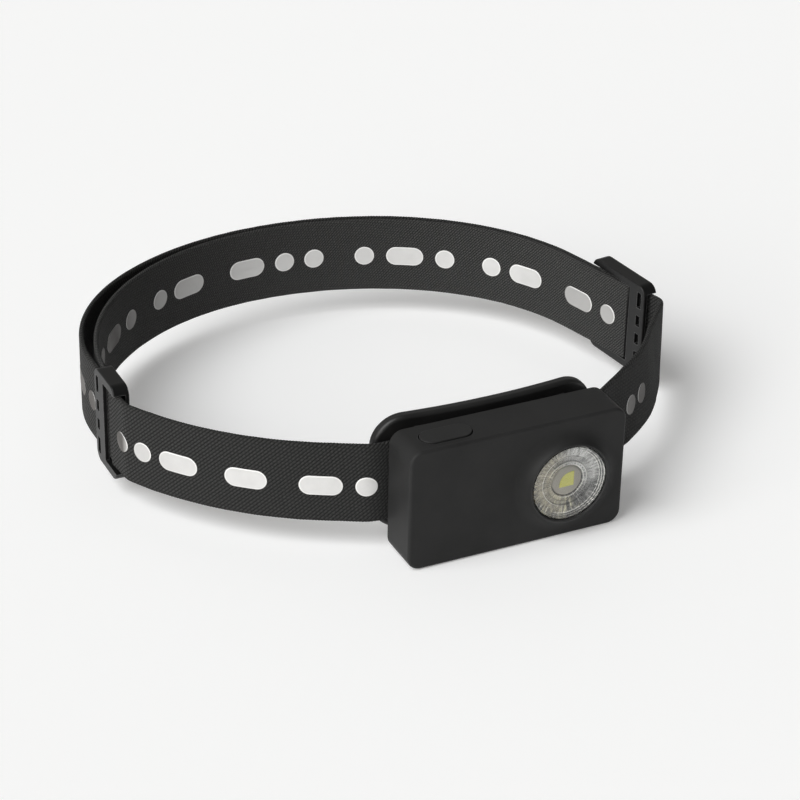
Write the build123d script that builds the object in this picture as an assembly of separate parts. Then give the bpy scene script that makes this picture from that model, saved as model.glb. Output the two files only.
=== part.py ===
from build123d import *
import math
import os

# A small headlamp on a head strap, in millimetres, +Z up.
# The origin is the middle of the lamp's flat base. The lamp faces -Y, and the strap loop lies behind it at +Y.

# ---- lamp body -------------------------------------------------------------------------------------------
LAMP_WIDTH = 67.0
LAMP_HEIGHT = 37.6
LAMP_DEPTH = 13.9
CORNER_RADIUS = 4.0          # of the lamp's outline seen from the front
FRONT_EDGE_ROUND = 0.9
BACK_EDGE_ROUND = 0.5
FRONT_WALL = 1.6
SIDE_WALL = 2.3
COVER_THICKNESS = 2.2
COVER_WALL = 1.3             # side wall left outside the rear cover
COVER_GAP = 0.08             # all round the rear cover
SEAL_THICKNESS = 0.8
SEAL_GAP = 0.1               # beside each seal

# ---- screws ----------------------------------------------------------------------------------------------
BOSS_RADIUS = 2.2
BOSS_INSET = 1.9             # boss centre from the inner side walls
SCREW_RADIUS = 0.8
SCREW_LENGTH = 6.0
HEAD_RADIUS = 1.5
HEAD_HEIGHT = 1.0
SCREW_CLEARANCE = 0.15       # round the shank in the cover and round the head

# ---- lens and LED ----------------------------------------------------------------------------------------
LENS_X = 14.9                # lens axis from the middle of the lamp
LENS_Z = 18.4
LENS_RADIUS = 11.45          # the clear face seen in the rim
LENS_FLANGE = 0.55           # the flange's width outside the clear face
LENS_FLANGE_THICKNESS = 1.5
LENS_DEPTH = 8.85
LENS_TAIL_RADIUS = 4.9
LENS_RECESS = 0.35           # clear face behind the rim
LENS_CLEARANCE = 0.2
LENS_POCKET_RADIUS = 2.9     # hollow in the lens's tail, over the LED
LENS_POCKET_DEPTH = 3.4
RIM_HEIGHT = 2.8             # the rim stands this far out of the front face
RIM_WIDTH = 0.85             # flat top of the rim and its outer round
RIM_LIP = 0.9                # thickness of the lip in front of the lens seal
RIM_SPREAD = 4.3             # width of the concave blend from the rim down to the face
LENS_SEAL_THICKNESS = 0.5
RIM_OUTER_BEVEL = 0.3
RIM_INNER_BEVEL = 0.25
LENS_TAIL_GAP = 0.25         # lens's tail to the LED board
HOLDER_WALL = 1.0
HOLDER_FOOT_RADIUS = 8.3
LED_SIZE = 3.5
LED_BASE_THICKNESS = 0.6
PHOSPHOR_SIZE = 2.2
PHOSPHOR_THICKNESS = 0.1
DOME_RADIUS = 1.6
LED_BOARD_RADIUS = 8.0
BOARD_THICKNESS = 1.0
PAD_INSET = 0.5              # thermal pad inside the LED board's edge

# ---- electronics -----------------------------------------------------------------------------------------
BOARD_GAP = 0.4              # main board to the side walls
BOARD_BACK_GAP = 1.35        # main board to the rear cover
BATTERY_WIDTH = 29.0
BATTERY_HEIGHT = 25.0
BATTERY_DEPTH = 6.0
BATTERY_GAP = 0.45           # to the front wall, the lower wall and the bosses
BATTERY_TAPE = 0.4
TAPE_INSET = (2.0, 3.0)      # inside the cell's sides and ends
TAB_WIDTH = 3.0
TAB_THICKNESS = 0.3
TAB_PLACES = (4.0, 10.0)     # tabs from the cell's middle
TAB_DROP = 2.0               # tabs below the cell's top
CHIPS = (                    # middle x and z, width, height and thickness of each
    (-12.0, 22.0, 4.0, 4.0, 0.8),
    (2.0, 12.0, 3.0, 3.0, 0.8),
    (9.5, 12.0, 3.8, 3.8, 1.1),
    (-3.0, 25.0, 5.0, 4.4, 0.9),
)
SWITCH_WIDTH = 6.0
SWITCH_DEPTH = 4.2
SWITCH_HEIGHT = 3.5
PLUNGER_RADIUS = 1.0
PLUNGER_CLEARANCE = 0.08
PLUNGER_LENGTH = 2.5
PLUNGER_FLOOR_GAP = 0.2      # below the pressed plunger
SWITCH_TOP_GAP = 0.3         # between the pressed button's boss and the switch

# ---- power button ----------------------------------------------------------------------------------------
BUTTON_BOSS_GAP = 0.7        # button's flange to the screw boss beside it
BUTTON_Y = -0.45
BUTTON_LENGTH = 15.4
BUTTON_WIDTH = 6.9
BUTTON_RISE = 0.4            # above the lamp's top
BUTTON_EDGE_ROUND = 0.25
BUTTON_GROOVE = 0.3          # gap round the button
BUTTON_TRAVEL = 0.6
BUTTON_FLANGE = 0.9          # flange width under the wall, in front and behind
BUTTON_FLANGE_INSET = 2.4    # the flange is this much shorter than the button
BUTTON_FLANGE_THICKNESS = 0.7
BUTTON_FLANGE_GAP = 0.15     # flange to the wall above it
BUTTON_BOSS = 1.6            # height of the boss under the flange

# ---- charging port ---------------------------------------------------------------------------------------
PORT_Z = 11.5
PORT_LENGTH = 8.94
PORT_HEIGHT = 3.26
PORT_DEPTH = 7.0
PORT_SHELL = 0.3
PORT_BACK_WALL = 0.6         # closed end of the receptacle
PORT_TONGUE_THICKNESS = 0.7
PORT_TONGUE_GAP = 1.2        # tongue to the receptacle's ends
PORT_TONGUE_SETBACK = 0.8    # tongue behind the receptacle's mouth
PORT_PROUD = 0.1             # receptacle's mouth inside the port's wall
PORT_HOLE_GAP = 0.3
PORT_COVER_LENGTH = 13.8
PORT_COVER_WIDTH = 5.5
PORT_COVER_THICKNESS = 1.0
PORT_COVER_GAP = 0.15
PORT_PLUG_DEPTH = 0.9
PORT_PLUG_GAP = 0.35         # plug to the hole's long sides
PORT_PLUG_SWING = 0.5        # plug to the hole's ends, for its swing
PORT_ANCHOR_LENGTH = 1.3

# ---- tilt hinge and strap bracket ------------------------------------------------------------------------
HINGE_BACK = 3.0             # hinge axis behind the lamp's back
HINGE_Z = 3.6
KNUCKLE_RADIUS = 2.6
KNUCKLE_LENGTH = 5.0
KNUCKLE_GAP = 0.3            # between neighbouring knuckles
KNUCKLE_CLEARANCE = 0.35     # round the lamp's knuckles, in the bracket
KNUCKLE_PITCH = 8.3          # middle of the lamp's knuckle from the middle of the lamp
PIN_RADIUS = 1.0
PIN_CLEARANCE = 0.05
PLATE_WIDTH = 68.8
PLATE_X = -1.0               # middle of the plate from the middle of the lamp
PLATE_ABOVE = 5.0            # plate above the strap
PLATE_BELOW = 6.1
PLATE_THICKNESS = 3.6
PLATE_CORNER = 9.5
PLATE_EDGE_ROUND = 1.2
PLATE_BEND = 224.0           # radius that the plate is bent to, on the head's side
PLATE_GAP = 3.5              # between the lamp's back and the middle of the plate
KEEPER_X = 21.0
KEEPER_WIDTH = 5.0
KEEPER_THICKNESS = 1.0
KEEPER_GAP = 0.25            # keeper to the lamp and to the strap
KEEPER_TIE = 1.2             # height of the ties above and below the strap

# ---- strap -----------------------------------------------------------------------------------------------
STRAP_WIDTH = 25.0
STRAP_THICKNESS = 1.5
STRAP_HINGE_GAP = 1.9        # strap above the hinge's knuckles
LAYER_GAP = 0.1              # between the two layers at the back
LEFT_RUN = 42.5              # lamp's side to the left bend, along X
LEFT_RISE = 20.0             # strap behind the lamp to the left bend, along Y
LEFT_ANGLE = 27.2            # of the strap where it leaves the lamp, from X
LEFT_STEEP = 61.6            # of the strap where it reaches the slider
LEFT_BEND = 99.0
RIGHT_RUN = 31.7
RIGHT_RISE = 20.1
RIGHT_ANGLE = 31.2
RIGHT_STEEP = 57.8
RIGHT_BEND = 100.0
LAMP_BEND = 12.0             # radius where the strap leaves the bracket
LEFT_SLIDER_OUT = 15.25      # left bend to the strap in the left slider, along X
LEFT_SLIDER_BEND = 5.0
RIGHT_SLIDER_BEND = 5.0
BACK_X = -14.0               # the rearmost point of the loop
BACK_DEPTH = 139.3           # strap behind the lamp to the rearmost point, along Y
BACK_LEFT_DEPTH = 62.5       # semi-axis along Y of the left rear quarter
BACK_RIGHT_DEPTH = 73.3
RIGHT_OUT = 38.65            # lamp's side to the end of the right rear quarter, along X
RIGHT_TILT = 15.0            # of the strap in the right slider, from Y
INNER_SLACK = 0.65           # the inner layer stands off the outer one by this at the rearmost point
INNER_LEFT_SWEEP = 11.2      # the inner layer's left quarter is this much longer along Y

# ---- sliders ---------------------------------------------------------------------------------------------
SLIDER_RAIL = 2.5            # height of each rail
SLIDER_DROP = 0.1            # middle of each slider below the middle of the strap
SLIDER_THICKNESS = 4.8
SLIDER_CORNER = 3.4
SLIDER_WINDOW_GAP = 0.25     # rail to the strap's edge
SLIDER_EDGE_ROUND = 0.4
BAR_THICKNESS = 1.2
END_BAR = 1.6                # width of the bar at the clamping end
MIDDLE_BAR = 3.8
FAR_BAR = 2.0                # width of the bar at the other end, on the other face
BAR_SLOT = 1.9               # between the end bar and the middle bar
RUNG_PITCH = 6.2             # between the three short rungs in that slot
RUNG_HEIGHT = 2.6
LAYER_END_GAP = 0.3          # inner layer's ends to the bars
LEFT_SLIDER_LENGTH = 16.6
LEFT_SLIDER_Y = 62.75        # middle of the left slider from the lamp's back
LEFT_SLIDER_IN = 0.25        # middle of the left slider inside the strap
RIGHT_SLIDER_LENGTH = 26.7
RIGHT_SLIDER_TURN = 7.0      # of the right slider, from Y
RIGHT_SLIDER_Y = 63.2
RIGHT_SLIDER_IN = 0.95       # middle of the right slider inside the strap, at its front end
RIGHT_JOIN_BACK = 3.0        # the front and rear straps meet this far before the right slider's middle

# ---- places worked out from the sizes --------------------------------------------------------------------
FRONT = -LAMP_DEPTH / 2
BACK = LAMP_DEPTH / 2
RIM = FRONT - RIM_HEIGHT
INNER_X = LAMP_WIDTH / 2 - SIDE_WALL
INNER_FRONT = FRONT + FRONT_WALL
COVER_FRONT = BACK - COVER_THICKNESS
LEDGE = COVER_FRONT - SEAL_THICKNESS
BOSS_X = INNER_X - BOSS_INSET
BOSS_Z = (SIDE_WALL + BOSS_INSET, LAMP_HEIGHT - SIDE_WALL - BOSS_INSET)
BOSSES = [(side * BOSS_X, z) for side in (-1, 1) for z in BOSS_Z]
BUTTON_X = BOSS_RADIUS - BOSS_X + BUTTON_BOSS_GAP + (BUTTON_LENGTH - BUTTON_FLANGE_INSET) / 2
BOARD_BACK = COVER_FRONT - BOARD_BACK_GAP
BOARD_FRONT = BOARD_BACK - BOARD_THICKNESS
FLANGE_RADIUS = LENS_RADIUS + LENS_FLANGE
BORE_RADIUS = FLANGE_RADIUS + LENS_CLEARANCE
LENS_FACE = RIM + LENS_RECESS
LENS_SHOULDER = RIM + RIM_LIP + LENS_SEAL_THICKNESS
LENS_FLANGE_BACK = LENS_SHOULDER + LENS_FLANGE_THICKNESS
LENS_TAIL = LENS_FACE + LENS_DEPTH
LED_BOARD_FRONT = LENS_TAIL + LENS_TAIL_GAP
LED_BOARD_BACK = LED_BOARD_FRONT + BOARD_THICKNESS
BUTTON_TOP = LAMP_HEIGHT + BUTTON_RISE
FLANGE_TOP = LAMP_HEIGHT - SIDE_WALL - BUTTON_FLANGE_GAP
FLANGE_BOTTOM = FLANGE_TOP - BUTTON_FLANGE_THICKNESS
PLUNGER_TOP = FLANGE_BOTTOM - BUTTON_BOSS
SWITCH_TOP = PLUNGER_TOP - BUTTON_TRAVEL - SWITCH_TOP_GAP
SWITCH_BOTTOM = SWITCH_TOP - SWITCH_HEIGHT
BATTERY_X = -BOSS_X + BOSS_RADIUS + BATTERY_GAP + BATTERY_WIDTH / 2
BATTERY_FRONT = INNER_FRONT + BATTERY_TAPE
BATTERY_BOTTOM = SIDE_WALL + BATTERY_GAP
PORT_Y = BOARD_FRONT - PORT_HEIGHT / 2
PORT_FRONT = INNER_X + PORT_PROUD
PORT_PANEL = LAMP_WIDTH / 2 - PORT_COVER_THICKNESS
PORT_COVER_Y = PORT_Y
PORT_HINGE_Z = PORT_Z - PORT_COVER_LENGTH / 2
HINGE_Y = BACK + HINGE_BACK
STRAP_BOTTOM = HINGE_Z + KNUCKLE_RADIUS + STRAP_HINGE_GAP
STRAP_TOP = STRAP_BOTTOM + STRAP_WIDTH
STRAP_MIDDLE_Z = STRAP_BOTTOM + STRAP_WIDTH / 2
PLATE_BOTTOM = STRAP_BOTTOM - PLATE_BELOW
PLATE_HEIGHT = PLATE_BELOW + STRAP_WIDTH + PLATE_ABOVE
PLATE_FRONT = BACK + PLATE_GAP
STRAP_Y = BACK + 2 * KEEPER_GAP + KEEPER_THICKNESS + STRAP_THICKNESS / 2
LAYER_STEP = STRAP_THICKNESS + LAYER_GAP


# ---- helpers ---------------------------------------------------------------------------------------------
def facing(y):
    """A sketch plane across Y whose sketch X is +X and sketch Y is +Z."""
    return Plane((0, y, 0), x_dir=(1, 0, 0), z_dir=(0, -1, 0))


def along_y(shape, x, z, y_front, y_back):
    """The flat shape, centred on (x, z), extruded from y_front back to y_back."""
    return extrude(facing(y_back) * Pos(x, z) * shape, y_back - y_front)


def along_z(shape, x, y, z_low, z_high):
    return extrude(Pos(x, y, z_low) * shape, z_high - z_low)


def side_plane(x):
    """A sketch plane across X whose sketch X is +Y and sketch Y is +Z."""
    return Plane((x, 0, 0), x_dir=(0, 1, 0), z_dir=(1, 0, 0))


def along_x(shape, y, z, x_low, x_high):
    return extrude(side_plane(x_low) * Pos(y, z) * shape, x_high - x_low)


def turned(*corners):
    """A ring or disc about the lens axis, from its outline in (radius, y)."""
    outline = Plane((LENS_X, 0, LENS_Z), x_dir=(1, 0, 0), z_dir=(0, 0, 1)) * make_face(Polyline(*corners, close=True))
    return revolve(outline, Axis((LENS_X, 0, LENS_Z), (0, 1, 0)), 360)


def meet(point, angle, other, other_angle):
    """Where two lines cross, each given by a point and its direction from X in degrees."""
    ax, ay = math.cos(math.radians(angle)), math.sin(math.radians(angle))
    bx, by = math.cos(math.radians(other_angle)), math.sin(math.radians(other_angle))
    dx, dy = other[0] - point[0], other[1] - point[1]
    step = (dx * by - dy * bx) / (ax * by - ay * bx)
    return (point[0] + step * ax, point[1] + step * ay)


# ---- lamp body -------------------------------------------------------------------------------------------
def lens_rim():
    """The raised ring round the lens, blended into the front face by one concave arc."""
    top = RIM + RIM_OUTER_BEVEL
    inner = LENS_RADIUS + LENS_CLEARANCE
    outer = inner + RIM_WIDTH
    foot = outer + RIM_SPREAD
    blend = TangentArc((foot, FRONT), (outer, top), tangent=(-1, 0))
    edge = Polyline(
        (outer, top),
        (outer - RIM_OUTER_BEVEL, RIM),
        (inner + RIM_INNER_BEVEL, RIM),
        (inner, top),
        (inner, INNER_FRONT),
        (foot, INNER_FRONT),
        (foot, FRONT),
    )
    outline = Plane((LENS_X, 0, LENS_Z), x_dir=(1, 0, 0), z_dir=(0, 0, 1)) * make_face(blend + edge)
    return revolve(outline, Axis((LENS_X, 0, LENS_Z), (0, 1, 0)), 360)


def front_housing():
    outer = along_y(RectangleRounded(LAMP_WIDTH, LAMP_HEIGHT, CORNER_RADIUS), 0, LAMP_HEIGHT / 2, FRONT, BACK)
    outer = fillet(outer.faces().sort_by(Axis.Y)[0].edges(), FRONT_EDGE_ROUND)
    outer = fillet(outer.faces().sort_by(Axis.Y)[-1].edges(), BACK_EDGE_ROUND)
    inner_shape = RectangleRounded(2 * INNER_X, LAMP_HEIGHT - 2 * SIDE_WALL, CORNER_RADIUS - SIDE_WALL)
    hollow = along_y(inner_shape, 0, LAMP_HEIGHT / 2, INNER_FRONT, BACK)
    rebate_shape = RectangleRounded(
        LAMP_WIDTH - 2 * COVER_WALL, LAMP_HEIGHT - 2 * COVER_WALL, CORNER_RADIUS - COVER_WALL
    )
    shell = outer - hollow - along_y(rebate_shape, 0, LAMP_HEIGHT / 2, LEDGE, BACK + 1)
    for x, z in BOSSES:
        boss = along_y(Circle(BOSS_RADIUS), x, z, INNER_FRONT - 0.1, COVER_FRONT - COVER_GAP)
        pilot = along_y(Circle(SCREW_RADIUS), x, z, COVER_FRONT - SCREW_LENGTH, BACK)
        shell = shell + boss - pilot
    inner = LENS_RADIUS + LENS_CLEARANCE
    shell = shell + lens_rim()
    shell = shell - along_y(Circle(inner), LENS_X, LENS_Z, RIM - 1, BACK)
    shell = shell - along_y(Circle(BORE_RADIUS), LENS_X, LENS_Z, RIM + RIM_LIP, COVER_FRONT)
    grooved = 2 * BUTTON_GROOVE
    opening = SlotOverall(BUTTON_LENGTH + grooved, BUTTON_WIDTH + grooved)
    shell = shell - along_z(opening, BUTTON_X, BUTTON_Y, LAMP_HEIGHT - SIDE_WALL - 1, LAMP_HEIGHT + 1)
    port = RectangleRounded(PORT_HEIGHT + 2 * PORT_HOLE_GAP, PORT_LENGTH + 2 * PORT_HOLE_GAP, 1.6)
    shell = shell - along_x(port, PORT_Y, PORT_Z, INNER_X - 1, LAMP_WIDTH / 2 + 1)
    low = PORT_HINGE_Z - PORT_ANCHOR_LENGTH - 2 * PORT_COVER_GAP
    high = PORT_Z + PORT_COVER_LENGTH / 2 + PORT_COVER_GAP
    recess = RectangleRounded(PORT_COVER_WIDTH + 2 * PORT_COVER_GAP, high - low, 0.8)
    return shell - along_x(recess, PORT_COVER_Y, (low + high) / 2, PORT_PANEL, LAMP_WIDTH / 2 + 1)


def knuckle(middle_x, length):
    return along_x(Circle(KNUCKLE_RADIUS), HINGE_Y, HINGE_Z, middle_x - length / 2, middle_x + length / 2)


def rear_cover():
    inset = COVER_WALL + COVER_GAP
    shape = RectangleRounded(LAMP_WIDTH - 2 * inset, LAMP_HEIGHT - 2 * inset, CORNER_RADIUS - inset)
    cover = along_y(shape, 0, LAMP_HEIGHT / 2, COVER_FRONT, BACK)
    for side in (-1, 1):
        middle = side * KNUCKLE_PITCH
        web_low = inset + 0.1
        web_high = HINGE_Z + KNUCKLE_RADIUS
        web = Pos(middle, (BACK - 0.5 + HINGE_Y) / 2, (web_low + web_high) / 2) * Box(
            KNUCKLE_LENGTH, HINGE_Y - BACK + 0.5, web_high - web_low
        )
        cover = cover + web + knuckle(middle, KNUCKLE_LENGTH)
    cover = cover - along_x(Circle(PIN_RADIUS + PIN_CLEARANCE), HINGE_Y, HINGE_Z, -LAMP_WIDTH / 2, LAMP_WIDTH / 2)
    for x, z in BOSSES:
        shank = along_y(Circle(SCREW_RADIUS + SCREW_CLEARANCE), x, z, COVER_FRONT - 1, BACK + 1)
        head = along_y(Circle(HEAD_RADIUS + SCREW_CLEARANCE), x, z, BACK - HEAD_HEIGHT, BACK + 1)
        cover = cover - shank - head
    return cover


def cover_seal():
    outer = COVER_WALL + SEAL_GAP
    inner = SIDE_WALL - SEAL_GAP
    ring = RectangleRounded(LAMP_WIDTH - 2 * outer, LAMP_HEIGHT - 2 * outer, CORNER_RADIUS - outer)
    hole = RectangleRounded(LAMP_WIDTH - 2 * inner, LAMP_HEIGHT - 2 * inner, CORNER_RADIUS - inner)
    seal = along_y(ring - hole, 0, LAMP_HEIGHT / 2, LEDGE, COVER_FRONT)
    for x, z in BOSSES:
        seal = seal - along_y(Circle(BOSS_RADIUS + SEAL_GAP), x, z, LEDGE - 1, BACK)
    return seal


def cover_screws():
    seat = BACK - HEAD_HEIGHT
    screws = []
    for x, z in BOSSES:
        head = along_y(Circle(HEAD_RADIUS), x, z, seat, BACK - 0.05)
        shank = along_y(Circle(SCREW_RADIUS), x, z, COVER_FRONT - SCREW_LENGTH + 0.3, seat)
        drive = along_y(RegularPolygon(0.75, 6), x, z, seat + 0.3, BACK)
        screws.append(head + shank - drive)
    return Compound(screws)


# ---- lens and LED ----------------------------------------------------------------------------------------
def lens_seal():
    inner = LENS_RADIUS + SEAL_GAP
    front = RIM + RIM_LIP
    return turned((inner, front), (FLANGE_RADIUS, front), (FLANGE_RADIUS, LENS_SHOULDER), (inner, LENS_SHOULDER))


def lens_optic():
    pocket = LENS_TAIL - LENS_POCKET_DEPTH
    return turned(
        (0, LENS_FACE),
        (LENS_RADIUS, LENS_FACE),
        (LENS_RADIUS, LENS_SHOULDER),
        (FLANGE_RADIUS, LENS_SHOULDER),
        (FLANGE_RADIUS, LENS_FLANGE_BACK),
        (LENS_RADIUS - 0.8, LENS_FLANGE_BACK),
        (LENS_TAIL_RADIUS, LENS_TAIL),
        (LENS_POCKET_RADIUS, LENS_TAIL),
        (LENS_POCKET_RADIUS, pocket),
        (0, pocket),
    )


def lens_holder():
    """The cup that presses the lens against its seal and stands on the LED board."""
    front = LENS_FLANGE_BACK + 0.1
    neck = LENS_TAIL_RADIUS + 0.6
    return turned(
        (FLANGE_RADIUS - HOLDER_WALL, front),
        (FLANGE_RADIUS, front),
        (FLANGE_RADIUS, front + 1.5),
        (HOLDER_FOOT_RADIUS, LED_BOARD_FRONT - 1.3),
        (HOLDER_FOOT_RADIUS, LED_BOARD_FRONT),
        (neck, LED_BOARD_FRONT),
    )


def led_board():
    return along_y(Circle(LED_BOARD_RADIUS), LENS_X, LENS_Z, LED_BOARD_FRONT, LED_BOARD_BACK)


def led_base():
    face = LED_BOARD_FRONT - LED_BASE_THICKNESS
    return along_y(Rectangle(LED_SIZE, LED_SIZE), LENS_X, LENS_Z, face, LED_BOARD_FRONT)


def led_phosphor():
    face = LED_BOARD_FRONT - LED_BASE_THICKNESS
    return along_y(Rectangle(PHOSPHOR_SIZE, PHOSPHOR_SIZE), LENS_X, LENS_Z, face - PHOSPHOR_THICKNESS, face)


def led_dome():
    face = LED_BOARD_FRONT - LED_BASE_THICKNESS - PHOSPHOR_THICKNESS
    ball = Pos(LENS_X, face, LENS_Z) * Sphere(DOME_RADIUS)
    return ball & along_y(Circle(2 * DOME_RADIUS), LENS_X, LENS_Z, face - 2 * DOME_RADIUS, face)


def thermal_pad():
    return along_y(Circle(LED_BOARD_RADIUS - PAD_INSET), LENS_X, LENS_Z, LED_BOARD_BACK, BOARD_FRONT)


# ---- electronics -----------------------------------------------------------------------------------------
def main_board():
    width = 2 * (INNER_X - BOARD_GAP)
    height = LAMP_HEIGHT - 2 * (SIDE_WALL + BOARD_GAP)
    board = along_y(Rectangle(width, height), 0, LAMP_HEIGHT / 2, BOARD_FRONT, BOARD_BACK)
    for x, z in BOSSES:
        board = board - along_y(Circle(BOSS_RADIUS + BOARD_GAP), x, z, FRONT, BACK)
    notch_floor = FLANGE_BOTTOM - BUTTON_TRAVEL - BOARD_GAP
    notch = Rectangle(BUTTON_LENGTH + 2, 2 * (LAMP_HEIGHT - notch_floor))
    return board - along_y(notch, BUTTON_X, LAMP_HEIGHT, FRONT, BACK)


def driver_chips():
    """The charger, the LED driver, the inductor and the controller, on the back of the main board."""
    chips = []
    for x, z, width, height, thickness in CHIPS:
        chips.append(along_y(Rectangle(width, height), x, z, BOARD_BACK, BOARD_BACK + thickness))
    return Compound(chips)


def battery():
    back = BATTERY_FRONT + BATTERY_DEPTH
    middle = BATTERY_BOTTOM + BATTERY_HEIGHT / 2
    return along_y(RectangleRounded(BATTERY_WIDTH, BATTERY_HEIGHT, 1.0), BATTERY_X, middle, BATTERY_FRONT, back)


def battery_tape():
    middle = BATTERY_BOTTOM + BATTERY_HEIGHT / 2
    shape = Rectangle(BATTERY_WIDTH - 2 * TAPE_INSET[0], BATTERY_HEIGHT - 2 * TAPE_INSET[1])
    return along_y(shape, BATTERY_X, middle, INNER_FRONT, BATTERY_FRONT)


def battery_tabs():
    """Two nickel tabs from the cell's back to the main board."""
    top = BATTERY_BOTTOM + BATTERY_HEIGHT
    back = BATTERY_FRONT + BATTERY_DEPTH
    tabs = []
    for place in TAB_PLACES:
        tab = Pos(BATTERY_X + place, (back + BOARD_FRONT) / 2, top - TAB_DROP)
        tabs.append(tab * Box(TAB_WIDTH, BOARD_FRONT - back, TAB_THICKNESS))
    return Compound(tabs)


def mode_switch():
    middle_y = BOARD_FRONT - SWITCH_DEPTH / 2
    middle_z = (SWITCH_TOP + SWITCH_BOTTOM) / 2
    body = Pos(BUTTON_X, middle_y, middle_z) * Box(SWITCH_WIDTH, SWITCH_DEPTH, SWITCH_HEIGHT)
    floor = PLUNGER_TOP - PLUNGER_LENGTH - BUTTON_TRAVEL - PLUNGER_FLOOR_GAP
    bore = along_z(Circle(PLUNGER_RADIUS + PLUNGER_CLEARANCE), BUTTON_X, BUTTON_Y, floor, SWITCH_TOP + 1)
    return body - bore


def switch_plunger():
    return along_z(Circle(PLUNGER_RADIUS), BUTTON_X, BUTTON_Y, PLUNGER_TOP - PLUNGER_LENGTH, PLUNGER_TOP)


def power_button():
    cap = along_z(SlotOverall(BUTTON_LENGTH, BUTTON_WIDTH), BUTTON_X, BUTTON_Y, FLANGE_TOP - 0.2, BUTTON_TOP)
    cap = fillet(cap.faces().sort_by(Axis.Z)[-1].edges(), BUTTON_EDGE_ROUND)
    flange_width = BUTTON_WIDTH + 2 * (BUTTON_GROOVE + BUTTON_FLANGE)
    flange = RectangleRounded(BUTTON_LENGTH - BUTTON_FLANGE_INSET, flange_width, 1.0)
    boss = along_z(Circle(1.5 * PLUNGER_RADIUS), BUTTON_X, BUTTON_Y, PLUNGER_TOP, FLANGE_TOP)
    return cap + along_z(flange, BUTTON_X, BUTTON_Y, FLANGE_BOTTOM, FLANGE_TOP) + boss


def usb_receptacle():
    """The steel shell, open towards +X."""
    outer = RectangleRounded(PORT_HEIGHT, PORT_LENGTH, PORT_HEIGHT / 2 - 0.1)
    inner_height = PORT_HEIGHT - 2 * PORT_SHELL
    inner = RectangleRounded(inner_height, PORT_LENGTH - 2 * PORT_SHELL, inner_height / 2 - 0.1)
    shell = along_x(outer, PORT_Y, PORT_Z, PORT_FRONT - PORT_DEPTH, PORT_FRONT)
    return shell - along_x(inner, PORT_Y, PORT_Z, PORT_FRONT - PORT_DEPTH + PORT_BACK_WALL, PORT_FRONT + 1)


def usb_tongue():
    tongue = Rectangle(PORT_TONGUE_THICKNESS, PORT_LENGTH - 2 * PORT_TONGUE_GAP)
    back = PORT_FRONT - PORT_DEPTH + PORT_BACK_WALL
    return along_x(tongue, PORT_Y, PORT_Z, back, PORT_FRONT - PORT_TONGUE_SETBACK)


def usb_cover():
    """The rubber cover: a plate in the side's recess with a plug that fills the port's hole."""
    plate = RectangleRounded(PORT_COVER_WIDTH, PORT_COVER_LENGTH, 0.7)
    cover = along_x(plate, PORT_COVER_Y, PORT_Z, PORT_PANEL, LAMP_WIDTH / 2)
    lift = Pos(LAMP_WIDTH / 2, PORT_COVER_Y, PORT_Z + PORT_COVER_LENGTH / 2 - 1.6)
    cover = cover - lift * Rot(90, 0, 0) * Cylinder(0.35, PORT_COVER_WIDTH + 2)
    plug_height = PORT_HEIGHT + 2 * (PORT_HOLE_GAP - PORT_PLUG_GAP)
    plug_length = PORT_LENGTH + 2 * (PORT_HOLE_GAP - PORT_PLUG_SWING)
    plug = RectangleRounded(plug_height, plug_length, plug_height / 2 - 0.1)
    return cover + along_x(plug, PORT_Y, PORT_Z, PORT_PANEL - PORT_PLUG_DEPTH, PORT_PANEL + 0.1)


def usb_cover_anchor():
    """The fixed end of the rubber cover, held in the bottom of the recess."""
    high = PORT_HINGE_Z - PORT_COVER_GAP
    shape = RectangleRounded(PORT_COVER_WIDTH, PORT_ANCHOR_LENGTH, 0.3)
    return along_x(shape, PORT_COVER_Y, high - PORT_ANCHOR_LENGTH / 2, PORT_PANEL, LAMP_WIDTH / 2 - 0.15)


# ---- bracket ---------------------------------------------------------------------------------------------
def plate_front_at(x):
    """Y of the bent plate's front face at x."""
    radius = PLATE_BEND + PLATE_THICKNESS
    return PLATE_FRONT + radius - math.sqrt(radius * radius - (x - PLATE_X) ** 2)


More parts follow.
